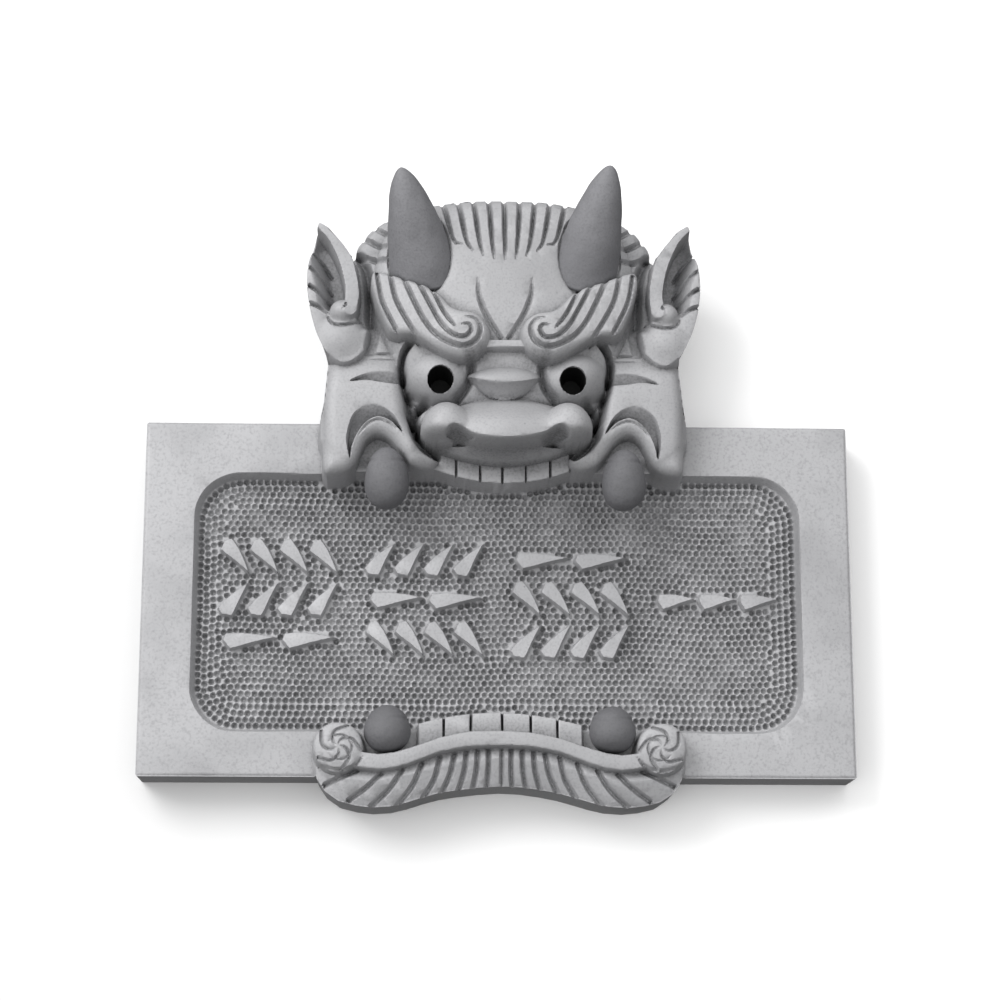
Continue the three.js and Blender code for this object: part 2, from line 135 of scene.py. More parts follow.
def round_over(depth: np.ndarray, radius: float | np.ndarray) -> np.ndarray:
    """How far a quarter-round edge drops below its top.

    Args:
        depth: Distance inside the edge.
        radius: Radius of the rounding.

    Returns:
        The drop, from radius at the edge to 0 further in.
    """
    t = 1 - np.clip(depth / radius, 0, 1)
    return radius * (1 - np.sqrt(np.clip(1 - t * t, 0, 1)))


def dome(distance: np.ndarray) -> np.ndarray:
    """A hemisphere of height 1 over a disc of radius 1."""
    return np.sqrt(np.clip(1 - distance ** 2, 0, 1))


def smooth_path(points: Points, closed: bool = False, spacing: float = 1.0) -> np.ndarray:
    """Run a Catmull-Rom curve through a few points.

    Args:
        points: Points in order.
        closed: Whether the last joins the first.
        spacing: Rough distance between the points returned.

    Returns:
        An array of points along the curve.
    """
    p = np.array(points, float)
    if closed:
        p = np.vstack([p[-1], p, p[0], p[1]])
    else:
        p = np.vstack([2 * p[0] - p[1], p, 2 * p[-1] - p[-2]])
    out = []
    for a, b, c, d in zip(p, p[1:], p[2:], p[3:]):
        count = max(1, int(np.hypot(*(c - b)) / spacing))
        for t in np.arange(count) / count:
            out.append(0.5 * (2 * b + (c - a) * t + (2 * a - 5 * b + 4 * c - d) * t * t
                              + (3 * b - a - 3 * c + d) * t ** 3))
    if not closed:
        out.append(p[-2])
    return np.array(out)


def line_distance(x: np.ndarray, z: np.ndarray, path: np.ndarray) -> np.ndarray:
    """Distance from each place to an open path.

    Args:
        x: Places across, in mm.
        z: Places up, in mm.
        path: Points along the path.

    Returns:
        Distances in mm.
    """
    best = np.full(x.shape, np.inf)
    for (ax, az), (bx, bz) in zip(path, path[1:]):
        ex, ez = bx - ax, bz - az
        t = np.clip(((x - ax) * ex + (z - az) * ez) / max(ex * ex + ez * ez, 1e-9), 0, 1)
        best = np.minimum(best, (x - ax - ex * t) ** 2 + (z - az - ez * t) ** 2)
    return np.sqrt(best)


def loop_distance(x: np.ndarray, z: np.ndarray, loop: np.ndarray) -> np.ndarray:
    """Distance from each place to a closed loop, positive inside it.

    Args:
        x: Places across, in mm.
        z: Places up, in mm.
        loop: Points round the loop.

    Returns:
        Distances in mm, negative outside.
    """
    inside = np.zeros(x.shape, bool)
    for (ax, az), (bx, bz) in zip(loop, np.roll(loop, -1, axis=0)):
        if az != bz:
            inside ^= ((az > z) != (bz > z)) & (x < (bx - ax) * (z - az) / (bz - az) + ax)
    away = line_distance(x, z, np.vstack([loop, loop[:1]]))
    return np.where(inside, away, -away)


def box_distance(x: np.ndarray, z: np.ndarray, half: tuple[float, float], radius: float) -> np.ndarray:
    """Distance to a rounded rectangle about the origin, positive inside it.

    Args:
        x: Places across, in mm.
        z: Places up, in mm.
        half: Half its width and half its height.
        radius: Radius of its corners.

    Returns:
        Distances in mm, negative outside.
    """
    qx, qz = np.abs(x) - half[0] + radius, np.abs(z) - half[1] + radius
    outside = np.hypot(np.maximum(qx, 0), np.maximum(qz, 0))
    return radius - outside - np.minimum(np.maximum(qx, qz), 0)


def blur(height: np.ndarray, cells: float) -> np.ndarray:
    """Soften a height map by a Gaussian of the given width in cells.

    Args:
        height: The height map.
        cells: Width of the Gaussian in cells.

    Returns:
        The softened map.
    """
    pad = int(4 * cells) + 1
    padded = np.pad(height, pad, mode="edge")
    waves = [np.exp(-2 * (math.pi * cells * np.fft.fftfreq(n)) ** 2) for n in padded.shape]
    soft = np.fft.ifft2(np.fft.fft2(padded) * np.outer(*waves)).real
    return soft[pad:-pad, pad:-pad]


def planted(points: np.ndarray) -> KDTree:
    """Grow a search tree over points on the face.

    Args:
        points: Places on the face, in mm.

    Returns:
        The tree, balanced.
    """
    tree = KDTree(len(points))
    for i, (x, z) in enumerate(points):
        tree.insert((x, z, 0), i)
    tree.balance()
    return tree


def mirrored(points: Points, side: Side, axis: float) -> Points:
    """Place points given outwards from an axis on one side of it."""
    return [(axis + side.value * u, z) for u, z in points]


def both_sides(half: Points, axis: float) -> np.ndarray:
    """Close a loop from its right half, which starts and ends on the axis."""
    return np.array(mirrored(half, Side.RIGHT, axis) + mirrored(half, Side.LEFT, axis)[1:-1][::-1])


# -------------------------------------------------------------------- the relief


class Relief:
    """The tile's face as heights above its flat back, on a square grid.

    Attributes:
        step: Grid spacing in mm.
        x, z: Grid coordinates in mm, slightly warped as by hand work.
        height: Height above the back plane in mm.
        edge: Distance inside the tile's outline in mm, negative outside it.
        soot_and_shade_map: Soot and painted shade in the hollows, from 0 to 1.
    """

    def __init__(self, low: Vector, high: Vector, step: float) -> None:
        """Lay out an empty relief over a box.

        Args:
            low: Lowest corner in metres.
            high: Highest corner in metres.
            step: Grid spacing in mm.
        """
        margin = 4 * step
        wander, lump = 0.22, 14
        self.step = step
        self.columns = np.arange(low.x / MM - margin, high.x / MM + margin, step)
        self.rows = np.arange(low.z / MM - margin, high.z / MM + margin, step)
        self.grid_x, self.grid_z = np.meshgrid(self.columns, self.rows)
        self.x = self.grid_x + wander * self.noise(lump, 3)
        self.z = self.grid_z + wander * self.noise(lump, 4)
        self.height = np.zeros(self.grid_x.shape)
        self.edge = np.full(self.grid_x.shape, -np.inf)
        self.soot_and_shade_map = np.zeros(self.grid_x.shape)

    @staticmethod
    def mixed(values: np.ndarray, i: np.ndarray, j: np.ndarray, s: np.ndarray, t: np.ndarray) -> np.ndarray:
        """Mix the four values round each place, at shares s across and t up.

        Args:
            values: A map of the grid's size.
            i: Column left of each place.
            j: Row below each place.
            s: Share of the way to the next column.
            t: Share of the way to the next row.

        Returns:
            The mixed values.
        """
        low = values[j, i] * (1 - s) + values[j, i + 1] * s
        high = values[j + 1, i] * (1 - s) + values[j + 1, i + 1] * s
        return low * (1 - t) + high * t

    def noise(self, size: float, seed: int) -> np.ndarray:
        """Smooth random values of unit size over the grid.

        Args:
            size: Width of one lump in mm.
            seed: Seed of the random numbers.

        Returns:
            Values from about -1 to 1.
        """
        u = (self.grid_x - self.columns[0]) / size
        v = (self.grid_z - self.rows[0]) / size
        i, j = u.astype(int), v.astype(int)
        knots = np.random.default_rng(seed).uniform(-1, 1, (j.max() + 2, i.max() + 2))
        return self.mixed(knots, i, j, smoothstep(0, 1, u - i), smoothstep(0, 1, v - j))

    def at(self, x: np.ndarray, z: np.ndarray, values: np.ndarray) -> np.ndarray:
        """Read a map of the grid's size at any places, in mm.

        Args:
            x: Places across, in mm.
            z: Places up, in mm.
            values: The map.

        Returns:
            Its values there.
        """
        u = np.clip((x - self.columns[0]) / self.step, 0, len(self.columns) - 1.001)
        v = np.clip((z - self.rows[0]) / self.step, 0, len(self.rows) - 1.001)
        i, j = u.astype(int), v.astype(int)
        return self.mixed(values, i, j, u - i, v - j)

    def window(self, path: np.ndarray, margin: float) -> Area:
        """The rows and columns of the grid that a path reaches, with a margin."""
        (x0, z0), (x1, z1) = path.min(axis=0) - margin, path.max(axis=0) + margin
        return (slice(*np.searchsorted(self.rows, (z0, z1))), slice(*np.searchsorted(self.columns, (x0, x1))))

    def within(self, loop: np.ndarray, margin: float = 3) -> tuple[Area, np.ndarray, np.ndarray, np.ndarray]:
        """The window round a loop, its places, and how far inside the loop they lie.

        Args:
            loop: Points round the loop.
            margin: How far the window reaches past it, in mm.

        Returns:
            The window, its X and Z, and the distances inside the loop.
        """
        area = self.window(loop, margin)
        x, z = self.x[area], self.z[area]
        return area, x, z, loop_distance(x, z, loop)

    def spread(self, area: Area, inside: np.ndarray) -> None:
        """Add a form to the tile's outline."""
        self.edge[area] = np.maximum(self.edge[area], inside)

    def paint_soot_and_shade(self, area: Area, amount: np.ndarray) -> None:
        """Paint soot and shade over a window, where there is less of it."""
        self.soot_and_shade_map[area] = np.maximum(self.soot_and_shade_map[area], amount)

    def stand(self, area: Area, inside: np.ndarray, form: np.ndarray, fillet: float,
              run: float = 0.8) -> None:
        """Join a form to the relief with a steep wall along its outline.

        Args:
            area: Window of the grid.
            inside: Distance inside the form's outline.
            form: The form's own height.
            fillet: Height of the run-in at its foot.
            run: How far its wall slopes out.
        """
        ground = self.height[area]
        wall = smoothstep(-run, 0.25, inside)
        raised = ground + (form - ground) * wall
        joined = blend_max(raised, ground, fillet) - fillet / 4 * (1 - wall)
        self.height[area] = np.where(inside > -run, np.maximum(joined, ground), ground)

    def raise_loop(self, loop: np.ndarray, top: float, rounding: float, fillet: float,
                   run: float = 0.8) -> None:
        """Stand a flat-topped form on the relief, with its edge rounded over."""
        area, _, _, inside = self.within(loop)
        self.stand(area, inside, top - round_over(inside, rounding), fillet, run)

    def sink_loop(self, loop: np.ndarray, floor: float, wall: float) -> None:
        """Cut a flat-floored hollow whose sloping wall has the given width.

        Args:
            loop: Points round the hollow.
            floor: Height of its floor.
            wall: Width of its wall.
        """
        area, _, _, inside = self.within(loop, 2)
        ground = self.height[area]
        self.height[area] = np.minimum(ground, ground + (floor - ground) * smoothstep(-0.1, wall, inside))

    def crease(self, path: np.ndarray, width: float, depth: float, soot: float = 0.0) -> None:
        """Press a broad rounded valley along a path.

        Args:
            path: Open path in mm.
            width: Width of the valley.
            depth: Its greatest depth.
            soot: How much soot and painted shade its floor gets, from 0 to 1.
        """
        area = self.window(path, width)
        away = line_distance(self.x[area], self.z[area], path)
        self.height[area] -= depth * smoothstep(width / 2, 0, away)
        # Soot and painted shade along the valley's floor.
        self.paint_soot_and_shade(area, soot * smoothstep(width * 0.7, width * 0.2, away))

    def bulge(self, centre: tuple[float, float], radii: tuple[float, float], base: float, rise: float,
              fillet: float, tilt: float = 0.0) -> None:
        """Press on a rounded lump of clay.

        Args:
            centre: Its centre.
            radii: Half its width and half its height.
            base: Height of its rim.
            rise: Height of its top above the rim.
            fillet: Height of the run-in at its foot.
            tilt: Turn in the face plane, in radians.
        """
        area = self.window(np.array([centre]), max(radii) + 2)
        dx, dz = self.x[area] - centre[0], self.z[area] - centre[1]
        u = (dx * math.cos(tilt) + dz * math.sin(tilt)) / radii[0]
        v = (dz * math.cos(tilt) - dx * math.sin(tilt)) / radii[1]
        q = np.hypot(u, v)
        ground = self.height[area]
        self.height[area] = np.where(q < 1, blend_max(base + rise * dome(q), ground, fillet), ground)


@dataclass
class Incision:
    """One line cut with a loop tool.

    Attributes:
        path: Points in mm on the face.
        width: Width of the cut at the surface, in mm.
        depth: Its greatest depth, in mm.
        runs_out: Share of its length over which it gets shallow at its start.
        fades: The same for its end; None for an equal share.
        flatness: 1 for a pointed floor, 2 for a round one, more for a flat one.
    """

    path: np.ndarray
    width: float
    depth: float
    runs_out: float = 0.22
    fades: float | None = None
    flatness: float = 1.35


@dataclass
class Feature:
    """A feature of the face whose points are given outwards from a centre line.

    Attributes:
        axis: The centre line in mm.
        side: Which half of the face it stands on.
    """

    axis: float
    side: Side = Side.RIGHT

    def out(self, x: np.ndarray) -> np.ndarray:
        """Distance outwards from the centre line."""
        return self.side.value * (x - self.axis)

    def trace(self, points: Points, closed: bool = False) -> np.ndarray:
        """Run a smooth path through points on the feature's side."""
        return smooth_path(mirrored(points, self.side, self.axis), closed)

    def cut(self, points: Points, side: Side, *shape: float) -> Incision:
        """Cut a line through points on a side, with the incision's other numbers."""
        return Incision(smooth_path(mirrored(points, side, self.axis)), *shape)


# --------------------------------------------------------------- plate and panel


@dataclass
class Plate:
    """The flat plate, with slightly eased and nicked edges.

    Attributes:
        half: Half its width and half its height, in mm.
        thickness: Its thickness.
        edge: Rounding of its front edges.
        corner: Rounding of its outline's corners.
    """

    half: tuple[float, float] = (120.0, 60.5)
    thickness: float = 18.0
    edge: float = 1.3
    corner: float = 0.8

    def model(self, relief: Relief) -> None:
        """Lay the plate down as the relief's ground.

        Args:
            relief: The relief being worked.
        """
        nicks = 0.25 * relief.noise(3.5, 11) + 0.35 * np.maximum(relief.noise(2.2, 12) - 0.55, 0)
        inside = box_distance(relief.grid_x, relief.grid_z, self.half, self.corner)
        eased = round_over(inside, self.edge + nicks.clip(0, 0.5))
        relief.height[:] = self.thickness - eased + 0.1 * relief.noise(22, 13)
        relief.edge = np.maximum(relief.edge, inside)


@dataclass
class Panel:
    """The sunk panel: a rounded rectangle whose floor takes the punch marks.

    Attributes:
        half_width, top, bottom, radius, floor, wall: Sizes of the panel in mm.
        pitch: Distance between marks in a row.
        row: Distance between rows.
        clear: Room that a mark needs on every side.
        rings: Rows that run parallel with the border.
        far: Greatest clearance that is measured.
    """

    half_width: float = 103.0
    top: float = 43.0
    bottom: float = -45.4
    radius: float = 15.5
    floor: float = 12.9
    wall: float = 1.4
    pitch: float = 2.34
    row: float = 2.06
    clear: float = 1.15
    rings: int = 4
    far: float = 3.0

    def inside(self, x: np.ndarray, z: np.ndarray) -> np.ndarray:
        """Distance inside the panel's upper edge."""
        centre = (self.top + self.bottom) / 2
        return box_distance(x, z - centre, (self.half_width, (self.top - self.bottom) / 2), self.radius)

    def model(self, relief: Relief) -> None:
        """Sink the panel into the plate.

        Args:
            relief: The relief being worked.
        """
        share = smoothstep(-0.2, self.wall, self.inside(relief.x, relief.z))
        floor = self.floor + 0.18 * relief.noise(9, 21)
        relief.height += (floor - relief.height) * share

    def clearance(self, relief: Relief) -> np.ndarray:
        """How far each place on the floor is from anything that rises from it, up to far.

        Args:
            relief: The finished relief.

        Returns:
            Clearance in mm, at most far.
        """
        blocked = (relief.height > self.floor + 0.9) | (relief.edge < 0)
        away = np.full(blocked.shape, self.far)
        reach = int(self.far / relief.step)
        for i in range(-reach, reach + 1):
            for j in range(-reach, reach + 1):
                length = math.hypot(i, j) * relief.step
                if length < self.far:
                    near = np.roll(blocked, (i, j), (0, 1))
                    away = np.where(near, np.minimum(away, length), away)
        return away

    def marks(self, relief: Relief, away: np.ndarray) -> np.ndarray:
        """Set out the punch marks.

        Rows run parallel with the panel's border, then level. Odd marks fill
        what is left, and all of them make room for each other.

        Args:
            relief: The finished relief.
            away: Clearance over the floor.

        Returns:
            Centres of the marks in mm.
        """
        rng = np.random.default_rng(31)
        depths = [self.wall + self.clear + i * self.row for i in range(self.rings + 1)]
        wanted = np.vstack([*(self.ring(depth) for depth in depths[:-1]), self.level_rows(depths[-1])])
        passes, spares = 3, 30000
        for _ in range(passes):
            spare = rng.uniform((-self.half_width, self.bottom), (self.half_width, self.top), (spares, 2))
            wanted = np.vstack([wanted, spare])
            wanted = self.relaxed(relief, away, self.spaced(wanted[self.free(relief, away, wanted)]))
        return wanted

    def spaced(self, wanted: np.ndarray) -> np.ndarray:
        """Keep the points that aren't too near to one already kept.

        Args:
            wanted: Points in order of choice.

        Returns:
            The points kept.
        """
        gap = self.pitch * 0.69
        kept: dict[tuple[int, int], tuple[float, float]] = {}
        for x, z in wanted:
            i, j = int(x // gap), int(z // gap)
            near = (kept.get((i + a, j + b)) for a in range(-2, 3) for b in range(-2, 3))
            if all(k is None or math.hypot(k[0] - x, k[1] - z) > gap for k in near):
                kept[i, j] = (x, z)
        return np.array(list(kept.values()))

    def free(self, relief: Relief, away: np.ndarray, points: np.ndarray) -> np.ndarray:
        """Which points lie on the panel's open floor."""
        room = relief.at(*points.T, away) >= self.clear - 0.1
        return room & (self.inside(*points.T) > self.wall + 0.7)

    def relaxed(self, relief: Relief, away: np.ndarray, points: np.ndarray) -> np.ndarray:
        """Push crowded marks apart until their walls are even.

        Args:
            relief: The finished relief.
            away: Clearance over the floor.
            points: The marks.

        Returns:
            The marks, moved.
        """
        rounds, share = 8, 0.28
        for _ in range(rounds):
            tree = planted(points)
            push = np.zeros(points.shape)
            for i, (x, z) in enumerate(points):
                for (nx, nz, _), _, distance in tree.find_range((x, z, 0), self.pitch)[1:]:
                    push[i] += (self.pitch - distance) / distance * np.array((x - nx, z - nz))
            moved = points + share * push
            points = np.where(self.free(relief, away, moved)[:, None], moved, points)
        return points

    def level_rows(self, depth: float) -> np.ndarray:
        """Level rows of marks inside a depth, each half a step off the last.

        Args:
            depth: Distance inside the panel's edge.

        Returns:
            Points in mm.
        """
        count = round((self.top - self.bottom - 2 * depth) / self.row) + 1
        levels = np.linspace(self.bottom + depth, self.top - depth, count)
        across = np.arange(depth - self.half_width, self.half_width - depth, self.pitch)
        x, z = np.meshgrid(across, levels)
        x[1::2] += self.pitch / 2
        sway = 0.5 * np.sin(x / 17) + 0.3 * np.sin(x / 7 + 1)
        z += sway * np.minimum(1, np.minimum(z - levels[0], levels[-1] - z) / 6)
        return np.stack([x.ravel(), z.ravel()], axis=1)

    def ring(self, depth: float) -> np.ndarray:
        """One row of marks parallel with the border, at a depth inside it.

        Args:
            depth: Distance inside the panel's edge.

        Returns:
            Points in mm.
        """
        w, h = self.half_width - depth, (self.top - self.bottom) / 2 - depth
        r = min(max(self.radius - 0.8 * depth, 2.5), h)
        corners = [(w - r, r - h, -math.pi / 2), (w - r, h - r, 0), (r - w, h - r, math.pi / 2),
                   (r - w, r - h, math.pi)]
        turn = np.linspace(0, math.pi / 2, 9)
        path = np.vstack([np.stack([x + r * np.cos(a + turn), z + r * np.sin(a + turn)], axis=1)
                          for x, z, a in corners])
        path = np.vstack([path, path[:1]])
        lengths = np.concatenate([[0], np.cumsum(np.hypot(*np.diff(path, axis=0).T))])
        count = int(lengths[-1] / self.pitch)
        along = (np.arange(count) + (round(depth / self.row) % 2) / 2) / count * lengths[-1]
        flat = np.stack([np.interp(along, lengths, path[:, k]) for k in (0, 1)], axis=1)
        return flat + (0, (self.top + self.bottom) / 2)


@dataclass
class BrushRows:
    """Rows of raised brush-like wedges in four blocks; they spell nothing.

    Attributes:
        first: Centre of the first block, in mm.
        pitch: Distance between blocks.
        row: Distance between rows in a block.
        width: Width of a wedge's head.
        top: Height of the wedges above the back.
        across: Width of a block.
    """

    first: float = -73.5
    pitch: float = 49.4
    row: float = 14.0
    width: float = 5.6
    top: float = 16.0
    across: float = 40.0

    def wedge(self, x: float, z: float, length: float, lean: Lean) -> np.ndarray:
        """Outline of one wedge: a broad cut head running out to a point.

        Args:
            x: Its centre.
            z: Its centre.
            length: Its length.
            lean: Its direction.

        Returns:
            Its closed outline.
        """
        shape = np.array([(-0.5, 0.06), (-0.44, 0.5), (-0.14, 0.46), (0.12, 0.32), (0.34, 0.15), (0.5, 0.0),
                          (0.24, -0.12), (0.0, -0.26), (-0.22, -0.42), (-0.38, -0.5)])
        u, v = shape[:, 0] * length, shape[:, 1] * self.width
        c, s = math.cos(lean.value), math.sin(lean.value)
        return np.stack([x + u * c - v * s, z + u * s + v * c], axis=1)

    def wedges(self) -> list[np.ndarray]:
        """Outlines of all the wedges.

        Returns:
            Closed outlines in mm.
        """
        rising, falling, level = Lean
        blocks = ((falling, rising, level), (rising, level, falling), (level, falling, rising))
        out = []
        for b, rows in enumerate(blocks):
            for r, lean in enumerate(rows):
                count, length = (2, 18.4) if lean is level else (4, 14.6)
                for i in range(count):
                    x = self.first + b * self.pitch + (i - (count - 1) / 2) * self.across / count
                    out.append(self.wedge(x, (1 - r) * self.row, length, lean))
        last = self.first + len(blocks) * self.pitch
        return out + [self.wedge(last + self.row * i, 0.0, 13.0, level) for i in (-1, 0, 1)]

    def model(self, relief: Relief) -> None:
        """Raise the wedges from the panel's floor."""
        for loop in self.wedges():
            relief.raise_loop(loop, self.top, 0.3, 0.1, 0.3)


# -------------------------------------------------------------------------- head


@dataclass
class Skull(Feature):
    """The head's mass: forehead dome, temples, hair and the side walls.

    Attributes:
        plane: Height of the head's flat front, in mm.
        crown: How far the forehead swells past it.
    """

    plane: float = 30.5
    crown: float = 12.8

    def outline(self, foot: Points) -> np.ndarray:
        """The head's closed outline, from the right half of its lower edge.

        Args:
            foot: Right half of its lower edge, from the centre line.

        Returns:
            Points round the head.
        """
        half = [*foot, (62.4, 52), (62.2, 59), (60.8, 64), (60.0, 72), (59.4, 82), (57, 92), (53, 108),
                (51.4, 116), (49.8, 120.6), (45.8, 125.9), (40.9, 130.2), (33, 133.6), (23.8, 135.8),
                (12, 136.8), (0, 137.0)]
        return both_sides(half, self.axis)

    def model(self, relief: Relief) -> None:
        """Stand the head on the plate.

        Args:
            relief: The relief being worked.
        """
        area, x, z, inside = relief.within(self.outline([(0, 44.5), (22, 48), (52, 44), (61, 42)]))
        relief.spread(area, inside)
        mask = self.outline([(0, 46.5), (12, 48), (22, 52), (28, 57), (33, 61), (42, 66), (52, 62), (56, 55),
                             (58, 47), (60, 46)])
        inside = loop_distance(x, z, mask)
        u = self.out(x)
        domed = self.plane + self.crown * dome(np.hypot(u / 45, (z - 104) / 44))
        form = blend_max(np.full(x.shape, self.plane), domed, 3.0)
        rounding = 3.5 + 6 * smoothstep(90, 114, z) * smoothstep(46, 34, np.abs(u))
        relief.stand(area, inside, form - round_over(inside, rounding), 2.2)
        relief.bulge((self.axis, 75), (12.5, 16), 28.0, 8.0, 2.4)

    def incisions(self) -> list[Incision]:
        """Combed hair along the top and the sides, and the frown.

        Returns:
            The lines to cut.
        """
        cuts = []
        for i in range(-4, 5):
            top, foot = i * 5.45, i * 3.65
            path = [(foot, 112.0 + 0.36 * i * i), (foot * 0.62 + top * 0.38 + 0.1 * i, 120), (top, 138.2)]
            cuts.append(self.cut(path, Side.RIGHT, 2.0, 2.6, 0.5, 0.01, 1.5))
        for side in Side:
            for path in ([(38.4, 113.7), (45, 115.0), (52.0, 118.0)],
                         [(38.6, 118.6), (44, 120.6), (49.4, 124.0)],
                         [(38.8, 123.7), (42, 125.6), (45.8, 128.6)]):
                cuts.append(self.cut(path, side, 2.4, 2.2, 0.2, 0.12, 1.8))
            frown = [(9.2, 105.2), (8.8, 99.5), (6.4, 92.6), (0.9, 83.6)]
            cuts.append(self.cut(frown, side, 2.3, 1.9, 0.4, 0.05))
        return cuts


@dataclass
class Brow(Feature):
    """One eyebrow: a thick lock swept up from a scroll beside the nose.

    Attributes:
        height: Its height above the back, in mm.
        scroll: Centre of its scroll.
    """

    height: float = 45.6
    scroll: tuple[float, float] = (13.6, 85.6)

    def model(self, relief: Relief) -> None:
        """Raise the lock, higher towards its scroll.

        Args:
            relief: The relief being worked.
        """
        loop = [(44.6, 107.2), (41.6, 107.4), (38.0, 106.2), (32.4, 104.0), (27.4, 102.2), (22.2, 99.0),
                (18.4, 94.8), (15.0, 92.7), (10.6, 92.0), (7.2, 89.6), (5.2, 85.2), (6.4, 80.6),
                (9.8, 77.4), (14.4, 76.2), (19.6, 77.8), (24.6, 81.0), (28.6, 83.6), (30.8, 84.6),
                (33.4, 84.9), (38.4, 86.0), (41.4, 91.4), (43.8, 97.8), (45.2, 103.4)]
        area, x, z, inside = relief.within(self.trace(loop, closed=True))
        u = self.out(x)
        from_scroll = np.hypot(u - self.scroll[0], z - self.scroll[1])
        top = self.height - 2.2 * smoothstep(26, 44, u) + 3.2 * smoothstep(12, 3, from_scroll)
        relief.stand(area, inside, top - round_over(inside, 2.4), 0.5)

    def incisions(self) -> list[Incision]:
        """Cuts that part the hair and wind into the scroll.

        Returns:
            The lines to cut.
        """
        lines = (
            (1.7, [(43.4, 107.4), (41.6, 97.6), (38.6, 90.6), (35.4, 84.4)]),
            (1.9, [(39.0, 107.6), (37.0, 98.0), (33.4, 90.4), (28.4, 82.2)]),
            (2.0, [(34.6, 105.6), (30.7, 96.4), (26.6, 88.6), (21.4, 82.9), (14.6, 79.9), (9.8, 82.0),
                   (8.4, 86.4), (10.2, 89.4), (13.4, 90.0)]),
            (1.8, [(30.0, 104.2), (24.4, 93.4), (20.8, 87.0), (17.2, 83.6), (13.4, 83.0), (11.5, 85.4),
                   (12.4, 87.4), (14.6, 87.2)]),
            (1.6, [(25.6, 102.4), (20.8, 92.6), (18.4, 88.6), (16.6, 86.2)]),
        )
        return [self.cut(line, self.side, width, 1.9, 0.02, 0.15, 1.6) for width, line in lines]


@dataclass
class Eye(Feature):
    """One bulging eyeball in its socket, with a deep bored pupil.

    Attributes:
        centre: Centre of the eyeball, in mm.
        radii: Half its width and half its height.
        rise: How far it bulges.
        pupil: Centre of the pupil.
        pupil_radius: Radius of its bore.
        pupil_floor: Height of the bore's floor above the back.
    """

    centre: tuple[float, float] = (21.9, 73.2)
    radii: tuple[float, float] = (12.5, 9.9)
    rise: float = 12.4
    pupil: tuple[float, float] = (22.3, 70.6)
    pupil_radius: float = 4.35
    pupil_floor: float = 26.0

    def model(self, relief: Relief) -> None:
        """Set the eyeball between its lids.

        Args:
            relief: The relief being worked.
        """
        centre, = mirrored([self.centre], self.side, self.axis)
        relief.bulge(centre, self.radii, 29.4, self.rise, 0.4, self.side.value * 0.24)
        # The last number of each crease is the soot and painted shade in its floor; the dark ring round the
        # eye's inner side is painted shade.
        for line, width, depth, soot in (
                ([(31.6, 85.0), (34.6, 81.0), (35.4, 76.6), (34.9, 73.0)], 3.6, 7.5, 0.3),
                ([(35.0, 74.0), (34.5, 70.0), (33.5, 66.4), (32.6, 62.4), (32.0, 59.0)], 3.6, 6.0, 0.3),
                ([(33.6, 68.6), (31.0, 66.4), (28.6, 64.6)], 1.8, 2.2, 0.3),
                ([(33.4, 67.5), (31.4, 64.8), (29.4, 63.4)], 3.6, 5.0, 0.3),
                ([(13.0, 79.6), (11.9, 74.6), (12.8, 69.4), (16.4, 64.8)], 4.0, 3.4, 0.85),
                ([(10.4, 82.0), (9.2, 78.6), (11.6, 74.0)], 3.0, 0.5, 0.5)):
            relief.crease(self.trace(line), width, depth, soot)

    def bore_pupil(self, relief: Relief) -> None:
        """Bore the pupil, after the brow stands over the eye.

        Args:
            relief: The relief being worked.
        """
        turn = np.linspace(0, 2 * math.pi, 36, endpoint=False)
        (x, z), = mirrored([self.pupil], self.side, self.axis)
        ring = np.stack([x + self.pupil_radius * np.cos(turn), z + self.pupil_radius * np.sin(turn)], axis=1)
        relief.sink_loop(ring, self.pupil_floor, 0.7)


